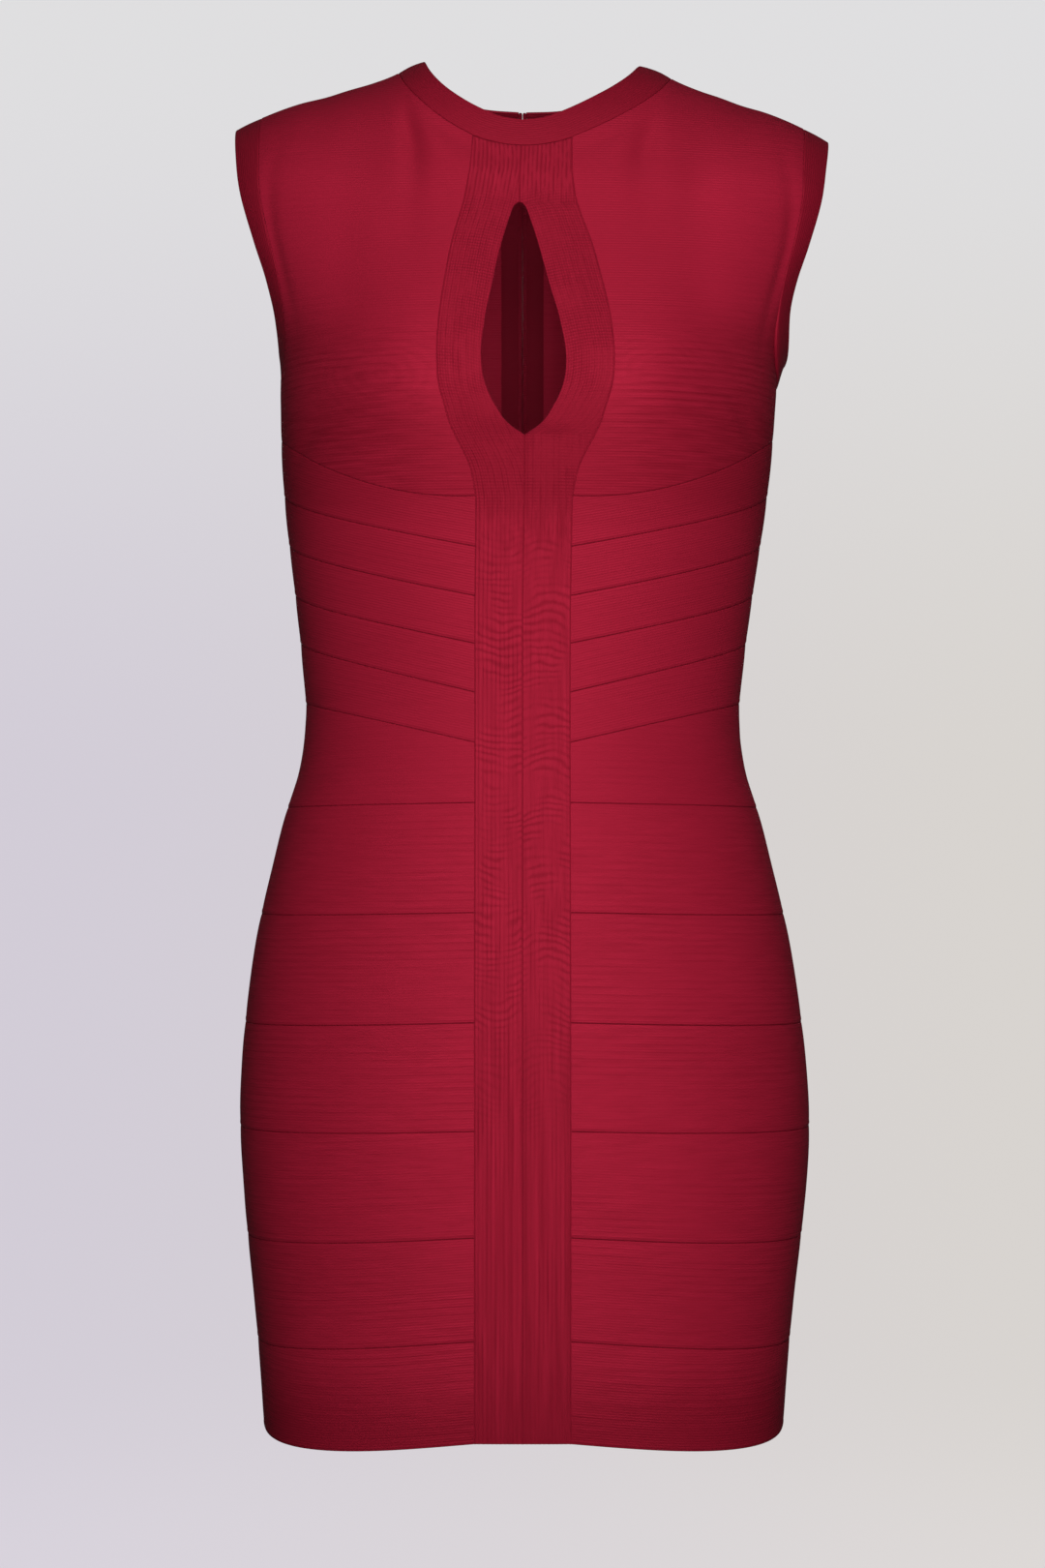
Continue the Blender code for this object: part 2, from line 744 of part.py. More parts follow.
def build_slider(frame, collection, material):
    """The zip's slider: a body through the neckband's slot, with a bridge for the pull."""
    half = SLIDER_WIDTH / 2
    reach = SLIDER_LENGTH / 2
    bridge = BRIDGE_WIDTH / 2
    span = BRIDGE_SPAN / 2
    top = SLIDER_OUTER + BRIDGE_RISE
    post = (SLIDER_OUTER - BURY, top)
    sizes = {
        "slider_body": ((-half, half), (-reach, reach), (SLIDER_INNER, SLIDER_OUTER)),
        "slider_post_up": ((-bridge, bridge), (-span, -span + BRIDGE_BAR), post),
        "slider_post_low": ((-bridge, bridge), (span - BRIDGE_BAR, span), post),
        "slider_bar": ((-bridge, bridge), (-span + BURY, span - BURY), (top - BRIDGE_BAR, top)),
    }
    pieces = [solid_box(name, frame, *size, collection, material) for name, size in sizes.items()]
    return joined("zip_slider", pieces, collection, material)


def build_pull(frame, collection, material):
    """The pull tab: a cross bar under the bridge, a window round it and a tapered tab."""
    middle, down, out = frame
    window, reach = PULL_WINDOW
    pivot = SLIDER_OUTER + PIVOT_RISE
    half = PULL_THICK / 2
    layer = (pivot - half, pivot + half)
    thinner = (layer[0] + ARM_THINNER, layer[1] - ARM_THINNER)
    arm = (-half + ARM_SHORT, reach)
    edge = PULL_WIDTH / 2
    tab = bmesh.new()
    corners = box(tab, frame, (-edge, edge), (reach - BURY, PULL_LENGTH), layer)
    far = sorted(corners, key=lambda vertex: -np.dot(vertex.co, down))[:4]
    for vertex in far:
        vertex.co.x *= PULL_TIP_WIDTH / PULL_WIDTH
    sizes = {
        "pull_bar": ((-edge, edge), (-half, half), layer),
        "pull_arm_left": ((window / 2, edge), arm, thinner),
        "pull_arm_right": ((-edge, -window / 2), arm, thinner),
    }
    pieces = [solid_box(name, frame, *size, collection, material) for name, size in sizes.items()]
    pieces.append(add_object("pull_tab", tab, collection, material))
    pull = joined("zip_pull", pieces, collection, material)
    hinge = bpy.data.objects.new("zip_pull_hinge", None)
    hinge.location = (middle + out * pivot) * MM
    collection.objects.link(hinge)
    bpy.context.view_layer.update()
    pull.parent = hinge
    pull.matrix_parent_inverse = hinge.matrix_world.inverted()
    return pull


def main():
    """Builds the dress piece by piece."""
    clear_scene()
    dress = bpy.data.collections.new("bodycon_dress")
    bpy.context.scene.collection.children.link(dress)
    knit = finish("band_knit", CRIMSON, 0.75)
    ribbed = finish("ribbed_knit", CRIMSON, 0.78)
    trim = finish("trim_knit", CRIMSON_DARK, 0.6)
    tape = finish("zip_tape", TAPE_RED, 0.85)
    enamel = finish("zip_enamel", ENAMEL_RED, 0.35, 0.4)
    build_strips(dress, ribbed)
    build_bust(dress, knit)
    build_bands(dress, knit)
    build_yoke(dress, knit)
    build_neckband(dress, trim)
    build_armholes(dress, trim)
    build_tapes(dress, tape)
    frame = zip_frame()
    build_slider(frame, dress, enamel)
    build_pull(frame, dress, enamel)


main()
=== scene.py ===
"""The looks of a sleeveless bodycon dress of sewn knit bands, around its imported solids.

Every cloth piece is a thin closed shell on the worn form that the solids share: rings below the
arms, an arch above them. Sizes are in millimetres and angles in degrees unless a name says more;
meshes are in metres, +Z up, the front faces -Y and the wearer's left is +X. A place on the form is
an angle, 0 at centre front and 180 at centre back, and a drop, the length down the cloth from the
shoulder ridge.
"""

import logging
import math
from dataclasses import dataclass, field
from enum import Enum
from typing import Any, Callable, Optional, Sequence, Union

import bmesh
import bpy
import numpy as np
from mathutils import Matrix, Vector


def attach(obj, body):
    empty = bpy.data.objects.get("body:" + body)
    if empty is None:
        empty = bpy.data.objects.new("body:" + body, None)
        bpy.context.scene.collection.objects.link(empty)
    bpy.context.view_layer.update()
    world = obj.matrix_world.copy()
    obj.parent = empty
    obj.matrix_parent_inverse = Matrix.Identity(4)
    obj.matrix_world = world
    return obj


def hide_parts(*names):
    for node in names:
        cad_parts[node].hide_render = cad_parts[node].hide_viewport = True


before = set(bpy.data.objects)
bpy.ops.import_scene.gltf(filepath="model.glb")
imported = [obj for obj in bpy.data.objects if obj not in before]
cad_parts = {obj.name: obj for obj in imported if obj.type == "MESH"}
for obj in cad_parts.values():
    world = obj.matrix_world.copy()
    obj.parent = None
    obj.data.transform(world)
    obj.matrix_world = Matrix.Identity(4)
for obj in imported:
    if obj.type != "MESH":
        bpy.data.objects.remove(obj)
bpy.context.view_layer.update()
LOG = logging.getLogger("bodycon_dress")

MM = 0.001
PER_METRE = 1000.0
UV_NAME = "cloth"
LEFTWARDS = np.array([1.0, 0.0, 0.0])
MIRROR = np.array([-1, 1])
Places = np.ndarray
Points = np.ndarray
Pair = tuple[float, float]
Mesh = tuple[Points, np.ndarray]


def table(*rows: tuple[float, ...]) -> Any:
    """A dataclass field that holds rows of numbers."""
    return field(default_factory=lambda: np.array(rows, float))


# ---- the worn form ---------------------------------------------------------------------------
def smooth(at: np.ndarray, stations: np.ndarray, values: np.ndarray) -> np.ndarray:
    """A smooth line through stations: cubic pieces with the slopes of their neighbours.

    Args:
        at: where the line is read.
        stations: rising places of the known values.
        values: the known values.

    Returns:
        The line's value at each place.
    """
    slopes = np.gradient(values, stations)
    i = np.clip(np.searchsorted(stations, at) - 1, 0, len(stations) - 2)
    step = stations[i + 1] - stations[i]
    t = np.clip((at - stations[i]) / step, 0.0, 1.0)
    rise = values[i + 1] - values[i]
    bend_in = slopes[i] * step - rise
    bend_out = rise - slopes[i + 1] * step
    return values[i] + t * rise + t * (1 - t) * ((1 - t) * bend_in + t * bend_out)


def unit(vectors: np.ndarray) -> np.ndarray:
    """Vectors scaled to length one."""
    return vectors / np.maximum(np.linalg.norm(vectors, axis=-1, keepdims=True), 1e-12)


def eased(share: np.ndarray) -> np.ndarray:
    """A share from 0 to 1 that starts and ends softly."""
    return share * share * (3 - 2 * share)


@dataclass(frozen=True)
class Crease:
    """A soft trough in the worn cloth, or a ridge where its depth is negative.

    The middle's angle and height, the lean from upright, half the length, half the width, the depth.
    """

    angle: float
    height: float
    lean: float
    reach: float
    width: float
    depth: float

    def relief(self, angle: np.ndarray, height: np.ndarray, per_degree: float) -> np.ndarray:
        """A bell across the crease times a bell along it.

        Args:
            angle: angles of the points.
            height: their heights.
            per_degree: millimetres round the body for a degree.

        Returns:
            How far the cloth stands out at each point, negative in a trough.
        """
        around = ((angle - self.angle + 180.0) % 360.0 - 180.0) * per_degree
        up = height - self.height
        cosine, sine = math.cos(math.radians(self.lean)), math.sin(math.radians(self.lean))
        across = around * cosine - up * sine
        along = around * sine + up * cosine
        return -self.depth * np.exp(-((across / self.width) ** 2) - (along / self.reach) ** 2)


@dataclass
class WornForm:
    """The hollow form that the dress has when worn."""

    # height, half width, front depth, back depth, squareness
    rings: np.ndarray = table(
        (-790, 151.0, 95.5, 99.0, 2.75),
        (-740, 154.3, 97.0, 101.0, 2.70),
        (-700, 158.0, 98.5, 104.0, 2.60),
        (-640, 164.5, 99.5, 110.0, 2.50),
        (-593, 167.0, 99.0, 113.5, 2.45),
        (-560, 165.5, 98.0, 113.0, 2.40),
        (-523, 161.5, 96.5, 110.0, 2.40),
        (-483, 155.2, 93.5, 103.0, 2.35),
        (-448, 147.0, 90.0, 95.0, 2.30),
        (-415, 138.7, 86.5, 86.0, 2.25),
        (-393, 131.6, 85.0, 80.0, 2.20),
        (-362, 127.6, 84.0, 76.0, 2.20),
        (-325, 130.2, 86.5, 77.0, 2.20),
        (-285, 135.0, 92.0, 81.0, 2.25),
        (-239, 141.0, 101.0, 87.0, 2.30),
        (-205, 144.0, 106.5, 91.0, 2.35),
        (-175, 145.2, 107.5, 94.0, 2.40),
        (-152, 146.5, 105.0, 95.0, 2.40),
        (-131, 153.0, 100.0, 94.5, 2.40),
        (-110, 163.0, 93.5, 92.5, 2.40),
        (-88, 174.0, 86.0, 88.5, 2.40),
        (-60, 183.0, 78.0, 81.0, 2.40),
        (-38, 184.5, 73.0, 74.0, 2.40),
        (-10, 185.0, 72.0, 72.0, 2.40),
        (8, 185.0, 72.0, 79.0, 2.40),
        (40, 185.0, 72.0, 80.0, 2.40),
    )
    # distance from the middle, height of the shoulder ridge
    ridge: np.ndarray = table(
        (0, 26.0), (50, 25.0), (63.4, 23.6), (72.9, 20.3), (82.4, 15.2), (95.8, 9.9), (109, 5.8),
        (121, 1.7), (137, -2.5), (158, -10.5), (174, -18.0), (185, -24.0),
    )
    # distance from the middle, height of the arch over the ridge
    arch: np.ndarray = table((0, 85.0), (80, 80.0), (130, 60.0), (174, 42.0), (185, 38.0))
    # height, how far the cloth stands towards the wearer's left there, beyond the centre strips
    sway: np.ndarray = table(
        (-790, 0.6), (-690, 0.9), (-621, 1.5), (-560, 0.8), (-480, 0.0), (-365, 0.0),
        (-279, 1.0), (-211, 2.4), (-165, 3.6), (-108, 5.2), (-40, 4.9), (30, 8.4),
    )
    # height, how far the front's middle leans the same way, within the strips' reach
    lean: np.ndarray = table(
        (-300, 0.0), (-250, 0.7), (-205, 1.1), (-175, 0.8), (-148, 0.0), (-125, -0.9), (-95, -1.6),
        (-60, -1.5), (-38, -0.5), (-22, 0.0),
    )
    sway_from: float = 60.0
    sway_power: int = 4
    # the shoulder line's fall towards the wearer's left, and the heights between which it grows
    tilt: float = 0.020
    tilt_span: Pair = (-125.0, -25.0)
    # distance from the middle, level, fullness, spread sideways, spread upright
    mounds: tuple[tuple[float, ...], ...] = (
        (74.0, -170.0, 9.0, 42.0, 46.0),
        (66.0, -42.0, -1.8, 9.0, 34.0),
    )
    mound_fade: float = 3.0
    top_half_width: float = 185.0
    top_squareness: float = 2.40
    per_degree: float = 2.4
    normal_step: float = 0.05
    creases: tuple[Crease, ...] = ()

    def ring(self, height: np.ndarray, column: int) -> np.ndarray:
        """One column of the rings' table at any height."""
        return smooth(height, self.rings[:, 0], self.rings[:, column])

    def angle_at(self, across: np.ndarray, height: np.ndarray) -> np.ndarray:
        """The angle, up to 90, of the point that is this far from the middle."""
        share = np.clip(np.asarray(across, float) / self.ring(height, 1), 0.0, 1.0)
        return np.degrees(np.arcsin(share ** (self.ring(height, 4) / 2)))

    def over(self, angle: np.ndarray, heights: np.ndarray) -> np.ndarray:
        """The ridge's height, or the arch's over it, at this angle."""
        across = self.top_half_width * np.abs(np.sin(np.radians(angle))) ** (2 / self.top_squareness)
        return smooth(across, heights[:, 0], heights[:, 1])

    def drop_at(self, angle: np.ndarray, height: np.ndarray) -> np.ndarray:
        """The length down the cloth from the ridge to this height: an arc, then a straight drop.

        Args:
            angle: angles up to 90.
            height: heights.

        Returns:
            The drops.
        """
        under = np.maximum(self.over(angle, self.ridge) - height, 0.0)
        arch = self.over(angle, self.arch)
        on_arch = np.arccos(np.clip(1 - under / arch, 0.0, 1.0)) * arch
        return np.where(under < arch, on_arch, under + arch * (math.pi / 2 - 1))

    def to_place(self, angle: np.ndarray, height: np.ndarray) -> Places:
        """Places for angles and heights."""
        angle, height = np.broadcast_arrays(np.asarray(angle, float), np.asarray(height, float))
        front = np.where(angle > 90, 180 - angle, angle)
        return np.stack([angle, self.drop_at(front, height)], axis=-1)

    def from_middle(self, points: Points) -> Places:
        """Places for front points given by their distance from the middle and their height."""
        return self.to_place(self.angle_at(points[:, 0], points[:, 1]), points[:, 1])

    def bare(self, place: Places) -> Points:
        """The form's points: a superellipse ring at a height that the arch and the drop give.

        Args:
            place: places on the form.

        Returns:
            The points.
        """
        angle, drop = place[..., 0], place[..., 1]
        arch = self.over(angle, self.arch)
        turn = np.minimum(drop / arch, math.pi / 2)
        under = np.where(turn < math.pi / 2, arch * (1 - np.cos(turn)), drop - arch * (math.pi / 2 - 1))
        height = self.over(angle, self.ridge) - under
        power = 2 / self.ring(height, 4)
        forward, sideways = np.cos(np.radians(angle)), np.sin(np.radians(angle))
        across = self.ring(height, 1) * np.sign(sideways) * np.abs(sideways) ** power
        depth = np.where(forward > 0, self.ring(height, 2), self.ring(height, 3))
        depth = depth * np.abs(forward) ** power * np.sin(turn)
        fullness = sum(self._mound(np.abs(across), height, *sizes) for sizes in self.mounds)
        fullness = fullness * np.clip(self.mound_fade * forward, 0, 1) * np.sin(turn)
        depth = depth + np.where(forward > 0, fullness, 0.0)
        return np.stack([across, -np.sign(forward) * depth, height], axis=-1)

    @staticmethod
    def _mound(across: np.ndarray, height: np.ndarray, middle: float, level: float, fullness: float,
               sideways: float, upright: float) -> np.ndarray:
        """A soft mound, or a hollow where its fullness is negative."""
        return fullness * np.exp(-((across - middle) / sideways) ** 2 - ((height - level) / upright) ** 2)

    def normals(self, place: Places) -> Points:
        """Unit normals of the bare form, from small steps round it and down it.

        Args:
            place: places on the form.

        Returns:
            A unit vector for each place.
        """
        around, down = np.array([self.normal_step, 0.0]), np.array([0.0, self.normal_step])
        along = self.bare(place + around) - self.bare(place - around)
        fall = self.bare(place + down) - self.bare(np.maximum(place - down, [-np.inf, 0.0]))
        return unit(np.cross(fall, along))

    def swayed(self, points: Points) -> Points:
        """Points moved towards the wearer's left: sway outside the strips, lean inside, and tilt.

        Sway takes over from the front's lean by a power bell of the distance from the middle.

        Args:
            points: points of the form.

        Returns:
            The moved points.
        """
        beyond = 1 - np.exp(-(points[..., 0] / self.sway_from) ** self.sway_power)
        middle = np.where(points[..., 1] < 0, 1 - beyond, 0.0)
        low, high = self.tilt_span
        risen = np.clip((points[..., 2] - low) / (high - low), 0, 1)
        moved = points.copy()
        moved[..., 0] += smooth(points[..., 2], self.sway[:, 0], self.sway[:, 1]) * beyond
        moved[..., 0] += smooth(points[..., 2], self.lean[:, 0], self.lean[:, 1]) * middle
        moved[..., 2] -= self.tilt * points[..., 0] * eased(risen)
        return moved

    def creased(self, place: Places) -> tuple[Points, Points]:
        """The form's points with the creases pressed in and the sway, and the bare form's normals.

        Args:
            place: places on the form.

        Returns:
            The points and the normals.
        """
        points, normals = self.bare(place), self.normals(place)
        reliefs = (crease.relief(place[..., 0], points[..., 2], self.per_degree) for crease in self.creases)
        rise = sum(reliefs, start=np.zeros(points.shape[:-1]))
        return self.swayed(points + normals * rise[..., None]), normals


# ---- the cut: seams and edges ----------------------------------------------------------------
class Side(Enum):
    """The wearer's left is +X, and the right is its mirror."""

    LEFT = "left"
    RIGHT = "right"

    @property
    def sign(self) -> float:
        """The side's direction along X."""
        return 1.0 if self is Side.LEFT else -1.0

    def line(self, places: Places) -> Places:
        """A line of the wearer's left, or its mirror."""
        return places if self is Side.LEFT else places * MIRROR

    def grid(self, places: Places) -> Places:
        """A grid of the wearer's left, or its mirror with columns that still run to the left."""
        return places if self is Side.LEFT else places[:, ::-1] * MIRROR


def behind(places: Places) -> Places:
    """The same places on the back."""
    return places * MIRROR + [180, 0]


def across_back(places: Places) -> Places:
    """The same places mirrored about centre back."""
    return places * MIRROR + [360, 0]


def lengths(points: Points, axis: int = 0) -> np.ndarray:
    """Length along the rows or the columns of a grid, added up from its first edge."""
    steps = np.linalg.norm(np.diff(points, axis=axis), axis=-1)
    start = np.zeros_like(np.take(steps, [0], axis=axis))
    return np.concatenate([start, np.cumsum(steps, axis=axis)], axis=axis)


def read(at: np.ndarray, length: np.ndarray, line: Places) -> Places:
    """The places of a line at some of its lengths."""
    return np.stack([np.interp(at, length, line[:, k]) for k in range(2)], axis=-1)


def evenly(points: Points, parts: int) -> Points:
    """A smooth curve through a few points, cut into equal parts."""
    length = lengths(points)
    at = np.linspace(0, length[-1], parts + 1)
    return np.stack([smooth(at, length, points[:, k]) for k in range(2)], axis=-1)


@dataclass
class Cut:
    """Where the dress's seams and edges lie on the worn form."""

    form: WornForm
    strip_width: float = 26.7
    samples: int = 120
    arm_degree: float = 2.6
    midriff_bands: int = 5
    zip_end_band: int = 3
    neck_seam_middle: float = -37.5
    tip_radius: float = 1.85
    # height at the centre strip, at the side, at centre back, bow, sway
    seams: np.ndarray = table(
        (-238.8, -197.8, -206.0, -0.25, 1.0),
        (-266.6, -229.1, -238.0, 0.00, 0.0),
        (-293.8, -258.2, -268.0, 0.10, 0.0),
        (-320.2, -287.3, -298.0, 0.20, 0.0),
        (-347.5, -316.0, -328.0, 0.40, 0.0),
        (-375.6, -351.7, -362.0, 0.80, 0.0),
        (-409.3, -413.0, -411.0, 0.00, 0.0),
        (-470.8, -475.0, -472.0, 0.30, 0.0),
        (-532.0, -538.0, -533.0, 0.40, 0.0),
        (-592.3, -598.5, -593.5, 0.40, 0.0),
        (-651.5, -661.0, -653.5, 0.80, 0.0),
        (-709.4, -721.0, -712.5, 1.00, 0.0),
        (-767.0, -771.0, -769.0, 6.00, 0.0),
    )
    # height, inner edge of a strip (the keyhole), outer edge
    strip: np.ndarray = table(
        (-238.8, 0.0, 26.8), (-222.0, 0.0, 30.5), (-205.5, 0.0, 38.8), (-200.0, 8.0, 41.4),
        (-190.0, 15.6, 44.5), (-178.0, 21.2, 47.9), (-163.0, 23.2, 49.0), (-143.0, 20.9, 48.0),
        (-118.0, 15.1, 44.0), (-92.0, 8.9, 38.2), (-76.5, 4.1, 33.3), (-72.0, 0.0, 32.0),
        (-52.0, 0.0, 28.6),
    )
    # distance from the middle, height
    neck_edge_front: np.ndarray = table(
        (0, -21.5), (13.0, -19.3), (25.4, -13.8), (38.2, -6.0), (49.9, 3.3), (57.5, 12.0), (63.4, 23.6))
    neck_seam_front: np.ndarray = table(
        (28.0, -32.0), (44.0, -23.2), (58.0, -13.5), (68.0, -4.5), (75.5, 5.0), (80.7, 16.2))
    neck_edge_back: np.ndarray = table((0, 8.0), (25.0, 9.4), (42.0, 12.6), (54.0, 17.0), (63.4, 23.6))
    neck_seam_back: np.ndarray = table(
        (0, -8.0), (30.0, -6.0), (50.0, -1.8), (65.0, 4.4), (75.0, 10.8), (80.7, 16.2))
    # degrees forward of the side, height
    arm_edge: np.ndarray = table(
        (0, -152), (9, -145), (16, -131), (22, -110), (25, -88), (25.2, -60), (23.6, -40), (21.4, -18.5))
    arm_seam: np.ndarray = table(
        (0, -167), (11, -160), (20, -146), (26, -125), (30, -108), (33, -84), (34.4, -60),
        (34.6, -36), (33.6, -10.8))

    def __post_init__(self) -> None:
        """Names the heights that the pieces share."""
        self.hem, self.under_bust = self.seams[[-1, 0], 0]
        self.keyhole_low, self.keyhole_high = self.strip[[2, -2], 0]
        self.share = np.linspace(0, 1, self.samples + 1)

    def front_seam(self, row: int) -> Places:
        """A front seam's places from the strip's edge to the side: a line with a bow and a sway.

        Args:
            row: the seam's row in the table.

        Returns:
            The seam's places.
        """
        strip, side, _, bow, sway = self.seams[row]
        share = self.share
        height = strip + (side - strip) * (share + share * (1 - share) * (bow + sway * (2 * share - 1)))
        start = self.form.angle_at(self.strip_edge(height[:1])[0], height[0])
        return self.form.to_place(start + (90 - start) * share, height)

    def back_seam(self, row: int) -> Places:
        """A back seam's places from the side to centre back, softened at both ends."""
        _, side, middle, _, _ = self.seams[row]
        height = middle + (side - middle) * eased(self.share)
        return self.form.to_place(180 - 90 * self.share, height)[::-1]

    def strip_edge(self, height: np.ndarray) -> np.ndarray:
        """A strip's outer edge from the middle: widened round the keyhole, straight below it."""
        around = smooth(height, self.strip[:, 0], self.strip[:, 2])
        return np.where(height > self.under_bust, around, self.strip_width)

    def strip_line(self, low: float, high: float) -> Places:
        """A strip's outer edge between two heights, upwards."""
        heights = np.linspace(low, high, self.samples + 1)
        return self.form.to_place(self.form.angle_at(self.strip_edge(heights), heights), heights)

    def strip_to_neck(self) -> Places:
        """A strip's outer edge from the under-bust seam up to the neckband."""
        return np.concatenate([self.strip_line(self.under_bust, self.strip[-1, 0]), self.neck_front()[:1]])

    def keyhole(self, heights: np.ndarray) -> np.ndarray:
        """The keyhole's half width: smooth between its points, with a round tip at the top.

        Args:
            heights: heights on the strip.

        Returns:
            The half widths, 0 below and above it.
        """
        rows = self.strip[2:-2]
        before, last = rows[-2:]
        widths = smooth(heights, rows[:, 0], rows[:, 1])
        straight = last[1] + (last[1] - before[1]) / (last[0] - before[0]) * (heights - last[0])
        round_tip = np.sqrt(2 * self.tip_radius * np.clip(self.keyhole_high - heights, 0.0, None))
        widths = np.where(heights > last[0], np.minimum(straight, round_tip), widths)
        inside = (heights > self.keyhole_low) & (heights < self.keyhole_high)
        return np.where(inside, widths, 0.0)

    def neck_front(self) -> Places:
        """The neckband's seam over a bust panel, from the strip to the shoulder."""
        return self.form.from_middle(evenly(self.neck_seam_front, self.samples))

    def neck_strip(self) -> Places:
        """The neckband's seam over a strip, from centre front outwards: a parabola."""
        end, height = self.neck_seam_front[0]
        across = np.linspace(0, end, self.samples // 2 + 1)
        rise = (height - self.neck_seam_middle) * (across / end) ** 2
        return self.form.from_middle(np.stack([across, self.neck_seam_middle + rise], axis=-1))

    def neck_whole(self) -> Places:
        """The neckband's seam from centre front to the shoulder."""
        return np.concatenate([self.neck_strip()[:-1], self.neck_front()])

    def neck_back(self) -> Places:
        """The neckband's seam over a back yoke, from centre back to the shoulder."""
        return behind(self.form.from_middle(evenly(self.neck_seam_back, self.samples)))

    def arm_line(self, points: np.ndarray) -> Places:
        """One of the armhole's lines, from the side up to the ridge.

        Args:
            points: degrees forward of the side, and heights.

        Returns:
            The line's places.
        """
        scale = [self.arm_degree, 1]
        rows = evenly(points * scale, self.samples) / scale
        places = self.form.to_place(90 - rows[:, 0], rows[:, 1])
        places[-1, 1] = 0
        return places

    def middle_back(self, low: float, high: float) -> Places:
        """Centre back between two heights, upwards."""
        return self.form.to_place(180.0, np.linspace(low, high, self.samples + 1))

    def band_name(self, row: int) -> str:
        """Midriff bands and skirt bands are counted from the top of each."""
        if row < self.midriff_bands:
            return f"midriff_band_{row + 1}"
        return f"skirt_band_{row - self.midriff_bands + 1}"


# ---- grids and shells ------------------------------------------------------------------------
@dataclass
class Edge:
    """One edge of a piece: lines of places joined end to end, and the shares where they join."""

    form: WornForm
    lines: Sequence[Places]
    joins: Sequence[float] = (0.0, 1.0)

    def at(self, share: np.ndarray) -> Places:
        """Places at rising shares of the edge, where each line is read by its own length.

        Args:
            share: shares from 0 to 1.

        Returns:
            A place for each share.
        """
        result = np.empty((len(share), 2))
        for line, start, end in zip(self.lines, self.joins[:-1], self.joins[1:]):
            inside = (share >= start) & (share <= end)
            length = lengths(self.form.bare(line))
            result[inside] = read((share[inside] - start) / (end - start) * length[-1], length, line)
        return result

    def length(self) -> float:
        """The edge's whole length."""
        return float(sum(lengths(self.form.bare(line))[-1] for line in self.lines))


@dataclass(frozen=True)
class Spacing:
    """How finely a grid is divided: close to its edges, even between them."""

    step: float
    draw_back: float = 0.15
    edge: tuple[float, ...] = (0.0, 0.08, 0.24, 0.5, 0.85, 1.4, 2.2, 3.4)

    def near(self) -> np.ndarray:
        """The lines close to a cut edge, drawn back from it by half of the seam's gap."""
        return np.array(self.edge) + self.draw_back

    def shares(self, length: float, joins: Sequence[float] = (), cut: bool = True) -> np.ndarray:
        """Rising shares of an edge, with the nearest one moved onto each join.

        Args:
            length: the edge's length.
            joins: shares that a grid line has to pass.
            cut: whether both ends are cut ones, drawn back and closely divided.

        Returns:
            The shares.
        """
        low = self.near() if cut else np.array([0.0])
        high = length - low[::-1]
        parts = max(2, math.ceil((high[0] - low[-1]) / self.step))
        middle = np.linspace(low[-1], high[0], parts + 1)[1:-1]
        at = np.concatenate([low, middle, high]) / length
        for join in joins:
            at[np.argmin(np.abs(at - join))] = join
        return at


def patch(bottom: Edge, top: Edge, left: Edge, right: Edge, u: np.ndarray, v: np.ndarray) -> Places:
    """A grid that blends four edges: straight rows plus straight columns less the corners.

    Args:
        bottom: the edge below, from first to last column.
        top: the edge above.
        left: the edge of the first column, upwards.
        right: the edge of the last column.
        u: shares across.
        v: shares up.

    Returns:
        The grid's places.
    """
    ends = np.array([0.0, 1.0])
    across, up = u[None, :, None], v[:, None, None]

    def over(first: Places, last: Places) -> Places:
        """Along the rows between two columns."""
        return (1 - across) * first + across * last

    rows = (1 - up) * bottom.at(u)[None] + up * top.at(u)[None]
    columns = over(left.at(v)[:, None], right.at(v)[:, None])
    corners = (1 - up) * over(*bottom.at(ends)) + up * over(*top.at(ends))
    return rows + columns - corners


def ruled(low: Edge, high: Edge, u: np.ndarray, v: np.ndarray) -> Places:
    """A grid of straight columns between two edges."""
    up = v[:, None, None]
    return (1 - up) * low.at(u)[None] + up * high.at(u)[None]


def quads(index: np.ndarray) -> np.ndarray:
    """The four corners of every cell of a grid of indices, outward where columns run left."""
    corners = (index[:-1, :-1], index[:-1, 1:], index[1:, 1:], index[1:, :-1])
    return np.stack(corners, axis=-1).reshape(-1, 4)


def ring_index(rows: int, sides: int) -> np.ndarray:
    """Indices of rings of points, with each ring's first point again at its end."""
    index = np.arange(rows * sides).reshape(rows, sides)
    return np.concatenate([index, index[:, :1]], axis=1)


def linked(mesh: bpy.types.Mesh, sharp: float) -> bpy.types.Object:
    """A mesh's object in the scene, smooth but for edges that turn by more than an angle.

    Args:
        mesh: the mesh.
        sharp: the angle in degrees.

    Returns:
        The object.
    """
    mesh.validate()
    mesh.shade_smooth()
    mesh.set_sharp_from_angle(angle=math.radians(sharp))
    piece = bpy.data.objects.new(mesh.name, mesh)
    bpy.context.scene.collection.objects.link(piece)
    return piece


def mesh_object(name: str, points: Points, faces: np.ndarray, uv: Optional[np.ndarray] = None,
                sharp: float = 55.0) -> bpy.types.Object:
    """An object from quads.

    Args:
        name: the piece's name.
        points: vertices in metres.
        faces: rows of four vertex indices.
        uv: a pair in metres for each face corner, in the faces' order.
        sharp: edges that turn by more than this are sharp.

    Returns:
        The object, linked to the scene.
    """
    mesh = bpy.data.meshes.new(name)
    mesh.vertices.add(len(points))
    mesh.vertices.foreach_set("co", np.asarray(points, np.float32).ravel())
    mesh.loops.add(faces.size)
    mesh.loops.foreach_set("vertex_index", faces.astype(np.int32).ravel())
    mesh.polygons.add(len(faces))
    mesh.polygons.foreach_set("loop_start", np.arange(0, faces.size, 4, dtype=np.int32))
    mesh.update(calc_edges=True)
    if uv is not None:
        layer = mesh.uv_layers.new(name=UV_NAME)
        layer.data.foreach_set("uv", np.asarray(uv, np.float32).ravel())
    return linked(mesh, sharp)


